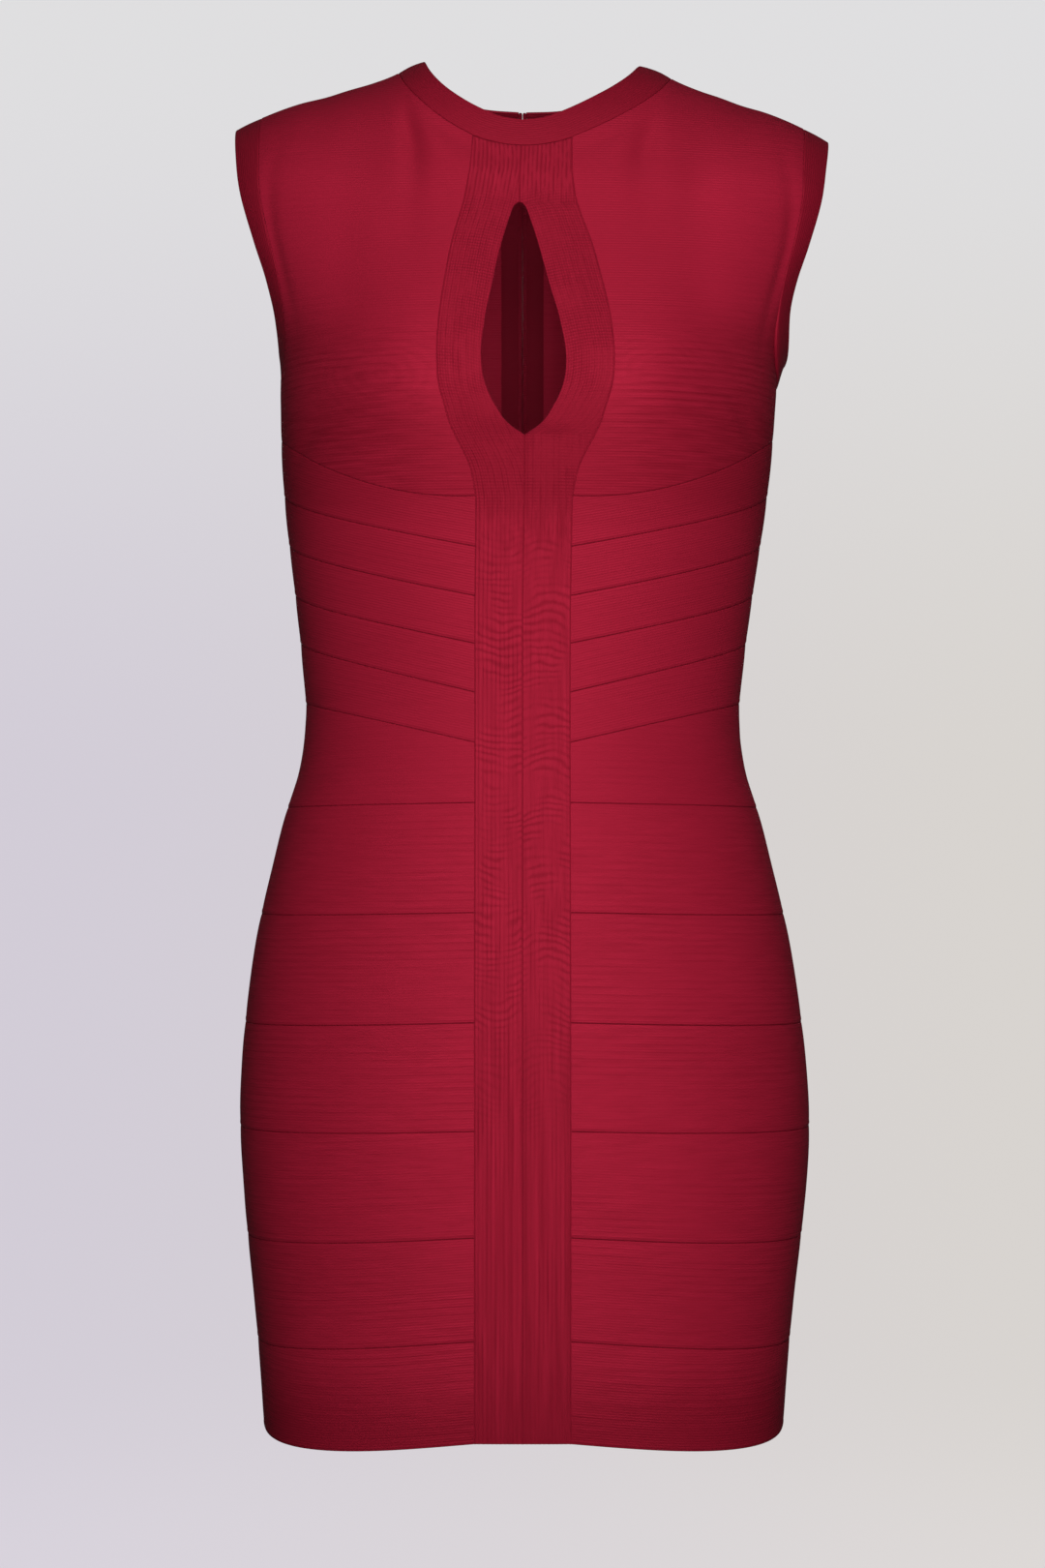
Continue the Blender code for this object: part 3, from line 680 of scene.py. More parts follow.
def outward(mesh: bpy.types.Mesh) -> None:
    """Turns the faces of closed parts outwards.

    Args:
        mesh: the mesh, changed in place.
    """
    work = bmesh.new()
    work.from_mesh(mesh)
    bmesh.ops.recalc_face_normals(work, faces=work.faces[:])
    work.to_mesh(mesh)
    work.free()


def dress_piece(piece: bpy.types.Object, material: bpy.types.Material, body: str = "dress",
                nodes: Sequence[str] = ()) -> bpy.types.Object:
    """Gives a piece its material, its body and the nodes that it stands for.

    Args:
        piece: the piece.
        material: its finish.
        body: the body that it rides on.
        nodes: the nodes that it stands for.

    Returns:
        The piece.
    """
    piece.data.materials.append(material)
    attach(piece, body)
    if nodes:
        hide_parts(*nodes)
    triangles = sum(len(face.vertices) - 2 for face in piece.data.polygons)
    LOG.info("%s: %d triangles, rides on %s", piece.name, triangles, body)
    return piece


@dataclass
class ClothSheet:
    """A piece of cloth as a thin closed shell on the worn form.

    Its outer side has the creases, a relief of its own, a pillow that sinks to the seams and edges
    that roll over; its inner side lies the cloth's thickness behind it. Round pieces have columns
    that meet.
    """

    form: WornForm
    places: Places
    thickness: float = 1.6
    behind_form: float = 0.0
    roll: float = 0.5
    rim: float = 0.06
    pillow: float = 0.35
    pillow_reach: float = 5.0
    inner_pillow: float = 0.5
    ridge: float = 0.0
    ridge_from_seam: float = 1.7
    ridge_width: float = 0.8
    round: bool = False
    stretch: float = 1.1
    relief: Optional[Callable[[np.ndarray, np.ndarray], np.ndarray]] = None
    offset: Union[float, np.ndarray] = 0.0

    def __post_init__(self) -> None:
        """Works out the base points and how far each is along and up the piece."""
        self.base, self.normal = self.form.creased(self.places)
        if self.round:
            self.base[:, -1] = self.base[:, 0]
            self.normal[:, -1] = self.normal[:, 0]
        self.along, self.up = lengths(self.base, 1), lengths(self.base)

    def _roll(self, distance: np.ndarray) -> np.ndarray:
        """How far an edge turns in: a quarter circle that fits into half the cloth's thickness."""
        radius = min(self.roll, self.thickness / 2 - self.rim)
        inside = radius - np.minimum(distance, radius)
        return radius - np.sqrt(np.maximum(radius**2 - inside**2, 0.0))

    def shell(self) -> tuple[Points, Points]:
        """The outer and the inner side's points, in metres."""
        from_high = self.up[-1:] - self.up
        drop = np.maximum(self._roll(self.up), self._roll(from_high))
        if not self.round:
            drop = np.maximum(drop, self._roll(np.minimum(self.along, self.along[:, -1:] - self.along)))
        rise = -self.pillow * np.exp(-np.minimum(self.up, from_high) / self.pillow_reach)
        rise = rise + self.ridge * np.exp(-(((self.up - self.ridge_from_seam) / self.ridge_width) ** 2))
        if self.relief is not None:
            rise = rise + self.relief(self.along, self.up)
        rise = rise - drop - self.behind_form
        inner = -self.thickness - self.behind_form + drop - self.pillow * self.inner_pillow
        inner = np.minimum(inner, rise - 2 * self.rim)
        sides = (self.base + self.normal * (level + self.offset)[..., None] for level in (rise, inner))
        return tuple(side * MM for side in sides)

    def build(self, name: str) -> bpy.types.Object:
        """The shell as an object: outer cells, inner cells turned round, and the rim between them.

        Args:
            name: the piece's name.

        Returns:
            The object.
        """
        outer, inner = self.shell()
        count = outer[..., 0].size
        cell = np.arange(count).reshape(outer.shape[:2])
        border = [cell[0], cell[-1, ::-1]]
        if not self.round:
            border = [np.concatenate([cell[0], cell[1:, -1], cell[-1, -2::-1], cell[-2::-1, 0]])]
        first = np.concatenate([line[:-1] for line in border])
        second = np.concatenate([line[1:] for line in border])
        rim = np.stack([second, first, first + count, second + count], axis=-1)
        corners = np.concatenate([quads(cell), quads(cell)[:, ::-1] + count, rim])
        place = np.arange(2 * count)
        if self.round:
            for side in (0, count):
                place[side + cell[:, -1]] = side + cell[:, 0]
        uv = np.stack([self.along, self.up], axis=-1).reshape(-1, 2) * MM
        uv = np.concatenate([uv, uv])[corners].reshape(-1, 2)
        points = np.concatenate([outer.reshape(-1, 3), inner.reshape(-1, 3)])
        return mesh_object(name, points, place[corners], uv)

    def add(self, node: str, weave: str, material: bpy.types.Material, slot: str) -> None:
        """The flat size is the worn size, with its width over the stretch that wearing gives it.

        Args:
            node: the solid that the piece stands for.
            weave: the piece's kind of cloth, added to its name.
            material: its finish.
            slot: not used.
        """
        piece = dress_piece(self.build(f"{node}_{weave}"), material, nodes=[node])
        cells = np.cross(self.base[1:, 1:] - self.base[:-1, :-1], self.base[1:, :-1] - self.base[:-1, 1:])
        area = float(np.linalg.norm(cells, axis=-1).sum() / 2) * MM * MM / self.stretch
        width = float(self.along[:, -1].max()) * MM / self.stretch
        height = float(self.up[-1].max()) * MM
        min(area, width * height)
        LOG.info("%s: cut %.0f x %.0f mm", piece.name, width / MM, height / MM)


# ---- shader maths ----------------------------------------------------------------------------
Colour = tuple[float, float, float]
Number = Union[float, "Signal"]
ANYWHERE = (1.0, 1.0, 1.0)


class Signal:
    """A socket that carries one number, with Python's own operators for maths."""

    def __init__(self, graph: "Graph", socket: bpy.types.NodeSocket) -> None:
        """Keeps the socket and the graph that it belongs to."""
        self.graph, self.socket = graph, socket

    def _with(self, operation: str, *others: Number, first: Optional[Number] = None) -> "Signal":
        """A Math node on this signal and others, or with another value first."""
        values = (self, *others) if first is None else (first, self)
        made = self.graph.node("ShaderNodeMath", {"operation": operation}, dict(enumerate(values)))
        return Signal(self.graph, made.outputs[0])

    def __add__(self, other: Number) -> "Signal":
        """The sum."""
        return self._with("ADD", other)

    def __mul__(self, other: Number) -> "Signal":
        """The product."""
        return self._with("MULTIPLY", other)

    def __sub__(self, other: Number) -> "Signal":
        """The difference."""
        return self._with("SUBTRACT", other)

    def __rsub__(self, other: Number) -> "Signal":
        """The other value less this one."""
        return self._with("SUBTRACT", first=other)

    def __pow__(self, other: Number) -> "Signal":
        """This signal raised to a power."""
        return self._with("POWER", other)

    __radd__, __rmul__ = __add__, __mul__

    def sine(self) -> "Signal":
        """The sine of an angle in radians."""
        return self._with("SINE")

    def size(self) -> "Signal":
        """The value without its sign."""
        return self._with("ABSOLUTE")

    def between(self, low: float, high: float) -> "Signal":
        """A smooth step from 0 at low to 1 at high."""
        made = self.graph.node("ShaderNodeMapRange", {"interpolation_type": "SMOOTHSTEP"},
                               {"Value": self, "From Min": low, "From Max": high})
        return Signal(self.graph, made.outputs[0])

    def within(self, rise: Pair, fall: Pair) -> "Signal":
        """A smooth step up, and down again further on."""
        return self.between(*rise) * (1.0 - self.between(*fall))

    def wave(self, pitch: float) -> "Signal":
        """A sine from -1 to 1 that repeats every pitch."""
        return (self * (2 * math.pi / pitch)).sine()

    def grooves(self, pitch: float) -> "Signal":
        """Rounded ridges from 0 to 1, with narrow tops, that repeat every pitch."""
        return (0.5 - 0.5 * self.wave(pitch)) ** 2.0


@dataclass(frozen=True)
class Noise:
    """Noise from 0 to 1: its scale a metre, its stretch on each axis, its detail and its shift."""

    per_metre: float
    stretch: tuple[float, float, float] = ANYWHERE
    detail: float = 2.0
    shift: float = 0.0


class Graph:
    """A material's nodes, made one at a time by one method."""

    def __init__(self, name: str) -> None:
        """A new material with a Principled shader and nothing linked.

        Args:
            name: the material's name.
        """
        self.material = bpy.data.materials.new(name)
        self.material.use_nodes = True
        self.tree = self.material.node_tree
        self.shader = self.tree.nodes["Principled BSDF"]

    def node(self, kind: str, settings: dict[str, object], inputs: dict[object, object]) -> bpy.types.Node:
        """A node with its settings first, then its sockets' values or links.

        Args:
            kind: the node's type.
            settings: its attributes.
            inputs: values, signals or sockets by socket name or number.

        Returns:
            The node.
        """
        made = self.tree.nodes.new(kind)
        for key, value in settings.items():
            setattr(made, key, value)
        self.feed(made, inputs)
        return made

    def feed(self, made: bpy.types.Node, inputs: dict[object, object]) -> None:
        """Sets or links sockets of a node.

        Args:
            made: the node.
            inputs: values, signals or sockets by socket name or number.
        """
        for key, value in inputs.items():
            if isinstance(value, Signal):
                value = value.socket
            if isinstance(value, bpy.types.NodeSocket):
                self.tree.links.new(value, made.inputs[key])
            else:
                made.inputs[key].default_value = value

    def _axes(self, place: bpy.types.NodeSocket, count: int) -> tuple[Signal, ...]:
        """The first axes of a place in metres, as millimetres."""
        parts = self.node("ShaderNodeSeparateXYZ", {}, {0: place})
        return tuple(Signal(self, parts.outputs[k]) * PER_METRE for k in range(count))

    def cloth_uv(self) -> tuple[Signal, ...]:
        """The piece's own UV pair: along the piece and up it."""
        return self._axes(self.node("ShaderNodeUVMap", {"uv_map": UV_NAME}, {}).outputs[0], 2)

    def object_axes(self) -> tuple[Signal, ...]:
        """Object coordinates."""
        return self._axes(self.node("ShaderNodeTexCoord", {}, {}).outputs["Object"], 3)

    def noise(self, kind: Noise) -> Signal:
        """Noise on Object coordinates.

        Args:
            kind: the noise's scale, stretch, detail and shift.

        Returns:
            The noise.
        """
        place = self.node("ShaderNodeTexCoord", {}, {})
        turned = self.node("ShaderNodeMapping", {}, {
            "Vector": place.outputs["Object"], "Scale": kind.stretch, "Location": (kind.shift,) * 3})
        made = self.node("ShaderNodeTexNoise", {}, {
            "Vector": turned.outputs[0], "Scale": kind.per_metre, "Detail": kind.detail})
        return Signal(self, made.outputs[0])

    def mix(self, share: Number, low: object, high: object) -> bpy.types.NodeSocket:
        """A colour between two colours or sockets, by a share."""
        ends = ((*end, 1.0) if isinstance(end, tuple) else end for end in (low, high))
        made = self.node("ShaderNodeMix", {"data_type": "RGBA"}, dict(zip((0, 6, 7), (share, *ends))))
        return made.outputs[2]

    def bump(self, height: Signal) -> bpy.types.NodeSocket:
        """A bumped normal from a height in millimetres."""
        return self.node("ShaderNodeBump", {}, {"Height": height, "Distance": MM}).outputs[0]


# ---- finishes --------------------------------------------------------------------------------
@dataclass(frozen=True)
class Shade:
    """A cloth colour between a darker and a lighter tone, as linear values. The knits mix them by random
    tone, and also by painted shade in their grooves and painted light on their crests.
    """

    deep: Colour
    lit: Colour


@dataclass(frozen=True)
class KnitFinish:
    """A close, smooth rayon knit: its finest courses, tiny stitches and a soft, low sheen.

    Pitches and heights are in millimetres; tones are shares between the shade's two colours. A pair
    of strengths or tones is a base value and what a patch changes it by.
    """

    name: str
    shade: Shade
    roughness: float = 0.58
    specular: float = 0.25
    satin: float = 0.16
    gloss_tint: Colour = (1.0, 0.16, 0.24)
    course: float = 1.45
    course_height: float = 0.05
    course_tone: float = 0.05
    wale: float = 1.25
    wale_height: float = 0.03
    wale_lean: float = 0.35
    cloud: Noise = Noise(14.0, detail=3.0)
    cloud_tone: float = 0.30
    cloud_roughness: float = 0.12
    grain: Noise = Noise(900.0, detail=1.0, shift=3.0)
    grain_tone: float = 0.12
    grain_height: float = 0.03
    lit_roughness: float = -0.10

    def material(self) -> bpy.types.Material:
        """The finish as a material.

        Returns:
            The material.
        """
        graph = Graph(self.name)
        height, tone = self._knit(graph, *graph.cloth_uv())
        cloud = graph.noise(self.cloud) - 0.5
        grain = graph.noise(self.grain) - 0.5
        # For the ribbed knits the tone holds painted light and shade; cloud and grain are random tone.
        share = 0.5 + tone + cloud * self.cloud_tone + grain * self.grain_tone
        graph.feed(graph.shader, {
            "Base Color": graph.mix(share, self.shade.deep, self.shade.lit),
            "Roughness": self.roughness + cloud * self.cloud_roughness + tone * self.lit_roughness,
            "Normal": graph.bump(height + grain * self.grain_height),
            "Metallic": self.satin,
            "Specular IOR Level": self.specular,
            "Specular Tint": (*self.gloss_tint, 1.0),
        })
        return graph.material

    def _stitches(self, along: Signal, up: Signal) -> Signal:
        """Tiny knit stitches' height: a wave along a course, turned by half a stitch on the next."""
        lean = up.wave(2 * self.course).size() * (self.wale * self.wale_lean)
        return (along + lean).wave(self.wale) * up.wave(self.course) * self.wale_height

    def _knit(self, graph: Graph, u: Signal, v: Signal) -> tuple[Signal, Signal]:
        """The height in millimetres and the tone, from the way along the piece and up it."""
        course = v.wave(self.course)
        return course * self.course_height + self._stitches(u, v), course * self.course_tone


@dataclass(frozen=True)
class RowKnit(KnitFinish):
    """Rows that run round the body with a band: calm at the midriff, plain to see on the skirt. Their
    grooves carry painted shade and their crests painted light.
    """

    broad: float = 4.1
    broad_height: float = 0.10
    # Painted shade in the broad ribs' grooves and painted light on their crests, and the crests' share.
    broad_painted_light_and_shade: float = 0.20
    painted_crest_light: float = 0.36
    wander: Noise = Noise(9.0, (1.0, 1.0, 2.0), shift=1.7)
    wander_reach: float = 5.0
    patch: Noise = Noise(15.0, (0.7, 0.7, 2.4), shift=5.1)
    patch_span: Pair = (0.36, 0.62)
    streak: Noise = Noise(95.0, (0.5, 0.5, 6.0), shift=2.0)
    streak_height: float = 0.06
    streak_tone: float = 0.62
    calm: float = 0.55
    calm_above: Pair = (-440.0, -400.0)
    # Painted shade in the hollow under the bust: where it rises and falls, and how strong it is.
    hollow_rise: Pair = (-262.0, -232.0)
    hollow_fall: Pair = (-205.0, -170.0)
    under_bust_painted_shade: float = -0.30
    # Painted shade down in the hem's turn: where it fades, and how strong it is.
    hem_span: Pair = (-775.0, -715.0)
    hem_painted_shade: float = -0.65

    def _rows(self, graph: Graph, u: Signal, rows: Signal, strength: Number) -> tuple[Signal, Signal]:
        """Courses, broad wandering ribs in patches with painted shade in their grooves and painted light on
        their crests, and long thin streaks between them.

        Args:
            graph: the material's graph.
            u: millimetres along the piece.
            rows: millimetres across the rows.
            strength: how strongly the ribs and streaks show, from 0 to 1.

        Returns:
            The height in millimetres and the tone.
        """
        wander = (graph.noise(self.wander) - 0.5) * self.wander_reach
        patch = graph.noise(self.patch).between(*self.patch_span) * strength
        streak = (graph.noise(self.streak) - 0.5) * strength
        course = rows.wave(self.course)
        ribs = (rows + wander).grooves(self.broad) * patch
        height = course * self.course_height - ribs * self.broad_height + streak * self.streak_height
        # Painted shade in the ribs' grooves and painted light on their crests.
        tone = (self.painted_crest_light * patch - ribs) * self.broad_painted_light_and_shade + streak * self.streak_tone
        return height + self._stitches(u, rows), tone + course * self.course_tone

    def _painted_under_bust_shade(self, z: Signal) -> Signal:
        """Painted shade in the hollow below the bust."""
        return self.under_bust_painted_shade * z.within(self.hollow_rise, self.hollow_fall)

    def _painted_hem_shade(self, z: Signal) -> Signal:
        """Painted shade down in the hem's turn."""
        return self.hem_painted_shade * (1.0 - z.between(*self.hem_span))

    def _knit(self, graph: Graph, u: Signal, v: Signal) -> tuple[Signal, Signal]:
        """Rows up the piece, with painted shade under the bust and at the hem."""
        z = graph.object_axes()[2]
        height, tone = self._rows(graph, u, v, 1.0 - self.calm * z.between(*self.calm_above))
        return height, tone + self._painted_under_bust_shade(z) + self._painted_hem_shade(z)


@dataclass(frozen=True)
class BustKnit(RowKnit):
    """Level rows over a bust panel, gone towards the shoulder, with faint rings about its fullest point and
    painted light beside the arms.
    """

    gone_above: Pair = (-165.0, -105.0)
    kept_aside: Pair = (100.0, 135.0)
    kept: float = 0.5
    strong_aside: Pair = (45.0, 80.0)
    strong_below: Pair = (-185.0, -125.0)
    strengths: tuple[float, float, float] = (0.05, 0.95, 0.9)
    middle: Pair = (78.0, -172.0)
    squash: float = 0.45
    ring: float = 4.6
    ring_fade: Pair = (10.0, 42.0)
    ring_height: float = -0.03
    ring_tone: float = 0.07
    ring_waver: Noise = Noise(30.0, shift=9.0)
    waver_reach: float = 14.0
    ring_patch: Noise = Noise(34.0, detail=1.0, shift=4.4)
    ring_patch_span: Pair = (0.34, 0.60)
    # Painted light on the bust panel beside the arms: where, and how strong.
    arm_side: Pair = (88.0, 112.0)
    arm_rise: Pair = (-150.0, -125.0)
    arm_fall: Pair = (-60.0, -20.0)
    arm_painted_light: float = 0.32

    def _knit(self, graph: Graph, u: Signal, v: Signal) -> tuple[Signal, Signal]:
        """Level rows with the rings, painted shade under the bust and painted light beside the arms.

        Args:
            graph: the material's graph.
            u: millimetres along the piece.
            v: millimetres up it.

        Returns:
            The height in millimetres and the tone.
        """
        x, _, z = graph.object_axes()
        aside = x.size()
        fade = 1.0 - z.between(*self.gone_above) * (1.0 - self.kept * aside.between(*self.kept_aside))
        strong = aside.between(*self.strong_aside) * (1.0 - z.between(*self.strong_below))
        least, usual, extra = self.strengths
        height, tone = self._rows(graph, u, z, fade * (usual + extra * strong) + least)
        distance = ((aside - self.middle[0]) ** 2.0 * self.squash + (z - self.middle[1]) ** 2.0) ** 0.5
        waver = (graph.noise(self.ring_waver) - 0.5) * self.waver_reach
        patch = graph.noise(self.ring_patch).between(*self.ring_patch_span)
        rings = (distance + waver).wave(self.ring) * (1.0 - distance.between(*self.ring_fade)) * patch
        painted_light_beside_arms = aside.between(*self.arm_side) * z.within(self.arm_rise, self.arm_fall)
        tone = tone + rings * self.ring_tone + self._painted_under_bust_shade(z) + self.arm_painted_light * painted_light_beside_arms
        return height + rings * self.ring_height, tone


@dataclass(frozen=True)
class StripKnit(RowKnit):
    """Upright ribs, arcs over them at the waist, and a slanting net beside the keyhole.

    The arcs are parabolas across a strip, hanging on one side and standing on the other. The ribs' and
    arcs' grooves carry painted shade and their crests painted light; the whole strip is painted darker,
    less so at the waist.
    """

    top_span: Pair = (-76.0, -56.0)
    net_rise: Pair = (-262.0, -225.0)
    net: float = 2.9
    net_slant: float = 0.8
    net_patch: Noise = Noise(60.0, detail=1.0, shift=3.3)
    net_patch_span: Pair = (0.35, 0.65)
    net_strengths: Pair = (0.55, 0.9)
    net_height: float = 0.14
    net_tone: float = 0.34
    arc_rise: Pair = (-620.0, -500.0)
    arc_fall: Pair = (-275.0, -245.0)
    arc: float = 4.4
    arc_middle: float = 13.0
    arc_bend: float = 0.020
    arc_waver: Noise = Noise(26.0, (1.0, 1.0, 1.3), detail=3.0, shift=2.2)
    arc_waver_reach: float = 20.0
    arc_patch: Noise = Noise(42.0, (1.6, 1.0, 1.0), shift=8.0)
    arc_height: float = -0.14
    arc_painted_light_and_shade: float = 0.50
    rib: float = 2.4
    rib_lane: Noise = Noise(420.0, (1.0, 1.0, 0.05), detail=1.0, shift=7.7)
    rib_lane_span: Pair = (0.36, 0.60)
    rib_strengths: Pair = (0.25, 1.1)
    rib_broken: Noise = Noise(38.0, (1.0, 1.0, 0.5), shift=1.2)
    broken_span: Pair = (0.35, 0.65)
    rib_height: float = -0.12
    rib_painted_crest_light: float = 0.35
    rib_painted_light_and_shade: Pair = (0.32, 0.30)
    rib_in_arcs: float = 0.6
    rib_in_net: float = 0.85
    thin_streak: Noise = Noise(330.0, (1.0, 1.0, 0.018), shift=6.0)
    thin_streak_tones: Pair = (1.5, 0.8)
    # Painted shade over the whole strip, and how much of it the arcs' stretch loses.
    strip_painted_shade: float = -0.30
    strip_shade_eased_in_arcs: float = 0.5
    under_bust_painted_shade: float = -0.36
    hem_painted_shade: float = -0.28

    def _knit(self, graph: Graph, u: Signal, v: Signal) -> tuple[Signal, Signal]:
        """The ribs, arcs and net, each in its own stretch of the strip, with painted shade in the grooves,
        painted light on the crests and painted shade over the strip.

        Args:
            graph: the material's graph.
            u: millimetres across the strip.
            v: millimetres up it.

        Returns:
            The height in millimetres and the tone.
        """
        x, _, z = graph.object_axes()
        top = z.between(*self.top_span)
        in_net = z.between(*self.net_rise) * (1.0 - top)
        in_arcs = z.within(self.arc_rise, self.arc_fall)
        least, extra = self.net_strengths
        net = (u + v * self.net_slant).wave(self.net) * (u - v * self.net_slant).wave(self.net) * in_net
        net = net * (least + extra * graph.noise(self.net_patch).between(*self.net_patch_span))
        side = x.between(-0.5, 0.5) * 2.0 - 1.0
        bow = (u - self.arc_middle) ** 2.0 * side * self.arc_bend
        waver = (graph.noise(self.arc_waver) - 0.5) * self.arc_waver_reach
        patch = graph.noise(self.arc_patch).between(*self.patch_span) * in_arcs
        arcs = (v + bow + waver).grooves(self.arc)
        least, extra = self.rib_strengths
        lane = graph.noise(self.rib_lane).between(*self.rib_lane_span)
        ribs = u.grooves(self.rib) * (least + extra * lane)
        broken = graph.noise(self.rib_broken).between(*self.broken_span)
        height = net * self.net_height + arcs * patch * self.arc_height + ribs * broken * self.rib_height
        upright = (1.0 - self.rib_in_arcs * in_arcs) * (1.0 - self.rib_in_net * in_net)
        whole = (broken + (1.0 - broken) * top) * upright
        # Painted shade in the grooves of the ribs and arcs, painted light on their crests.
        least, extra = self.rib_painted_light_and_shade
        tone = (self.rib_painted_crest_light - ribs) * whole * (least + extra * top)
        tone = tone + net * self.net_tone + (self.painted_crest_light - arcs) * patch * self.arc_painted_light_and_shade
        least, extra = self.thin_streak_tones
        tone = tone + (graph.noise(self.thin_streak) - 0.5) * upright * (least - extra * top)
        # Painted shade over the strip, less in the arcs' stretch at the waist.
        tone = tone + self.strip_painted_shade * (1.0 - self.strip_shade_eased_in_arcs * in_arcs)
        return height + self._stitches(v, u), tone + self._painted_under_bust_shade(z) + self._painted_hem_shade(z)


@dataclass(frozen=True)
class ThreadFinish:
    """Sewing thread and coil teeth: a dyed yarn or nylon with a twist along its length."""

    name: str
    shade: Shade
    roughness: float = 0.62
    specular: float = 0.12
    gloss_tint: Colour = (1.0, 0.20, 0.28)
    twist: float = 1.1
    twist_height: float = 0.05
    twist_tone: float = 0.25
    wear: Noise = Noise(60.0)
    wear_tone: float = 0.5
    wear_roughness: float = 0.2

    def material(self) -> bpy.types.Material:
        """The finish as a material."""
        graph = Graph(self.name)
        x, y, z = graph.object_axes()
        twist = (x + y + z).wave(self.twist)
        wear = graph.noise(self.wear) - 0.5
        share = 0.5 + twist * self.twist_tone + wear * self.wear_tone
        graph.feed(graph.shader, {
            "Base Color": graph.mix(share, self.shade.deep, self.shade.lit),
            "Roughness": self.roughness + wear * self.wear_roughness,
            "Normal": graph.bump(twist * self.twist_height),
            "Specular IOR Level": self.specular,
            "Specular Tint": (*self.gloss_tint, 1.0),
        })
        return graph.material


@dataclass(frozen=True)
class EnamelFinish:
    """A zip slider's dyed enamel over metal, rubbed bright in small spots.

    Its metallic and roughness pairs are a base value and what the pattern adds.
    """

    name: str
    shade: Shade
    bare_metal: Colour = (0.42, 0.36, 0.36)
    rub: Noise = Noise(700.0, detail=4.0)
    rub_span: Pair = (0.70, 0.78)
    rub_share: float = 0.6
    rub_metallic: Pair = (0.25, 0.7)
    cloud: Noise = Noise(150.0, detail=3.0, shift=4.0)
    cloud_roughness: Pair = (0.28, 0.16)
    relief: float = 0.02
    coat: float = 0.5
    coat_roughness: float = 0.15

    def material(self) -> bpy.types.Material:
        """The finish as a material."""
        graph = Graph(self.name)
        rub = graph.noise(self.rub).between(*self.rub_span)
        cloud = graph.noise(self.cloud)
        dyed = graph.mix(cloud, self.shade.deep, self.shade.lit)
        graph.feed(graph.shader, {
            "Base Color": graph.mix(rub * self.rub_share, dyed, self.bare_metal),
            "Metallic": self.rub_metallic[0] + rub * self.rub_metallic[1],
            "Roughness": self.cloud_roughness[0] + cloud * self.cloud_roughness[1],
            "Normal": graph.bump((cloud - rub) * self.relief),
            "Coat Weight": self.coat,
            "Coat Roughness": self.coat_roughness,
        })
        return graph.material


@dataclass(frozen=True)
class StudioFinish:
    """Pale backdrop paper lit by a painted glow: lilac on one side, warm on the other, paler above."""

    name: str
    # The painted glow's colours: towards each side, and above.
    left: Colour = (0.640, 0.600, 0.675)
    right: Colour = (0.680, 0.650, 0.620)
    above: Colour = (0.735, 0.730, 0.740)
    paper: Shade = Shade((0.06, 0.06, 0.065), (0.08, 0.08, 0.083))
    mottle: Noise = Noise(0.7)
    sides: Pair = (-1100.0, 1100.0)
    rise: Pair = (-500.0, 1300.0)
    roughness: float = 0.85
    specular: float = 0.1

    def material(self) -> bpy.types.Material:
        """The finish as a material."""
        graph = Graph(self.name)
        x, _, z = graph.object_axes()
        level = graph.mix(x.between(*self.sides), self.left, self.right)
        graph.feed(graph.shader, {
            "Base Color": graph.mix(graph.noise(self.mottle), self.paper.deep, self.paper.lit),
            "Roughness": self.roughness,
            "Specular IOR Level": self.specular,
            # Painted glow that stands in for the light on the paper.
            "Emission Color": graph.mix(z.between(*self.rise), level, self.above),
            "Emission Strength": 1.0,
        })
        return graph.material


# ---- cloth pieces ----------------------------------------------------------------------------
CLOTH_STEP = Spacing(step=3.4)
FINE_STEP = Spacing(step=0.6, edge=(0.0, 0.08, 0.24, 0.5, 0.85))


def add_pair(cut: Cut, places: Places, node: str, material: bpy.types.Material, slot: str,
             weave: str = "knit", **shape: object) -> None:
    """Both sides' sheets of a piece, from the wearer's left one's grid."""
    for side in Side:
        sheet = ClothSheet(cut.form, side.grid(places), **shape)
        sheet.add(f"{node}_{side.value}", weave, material, slot)


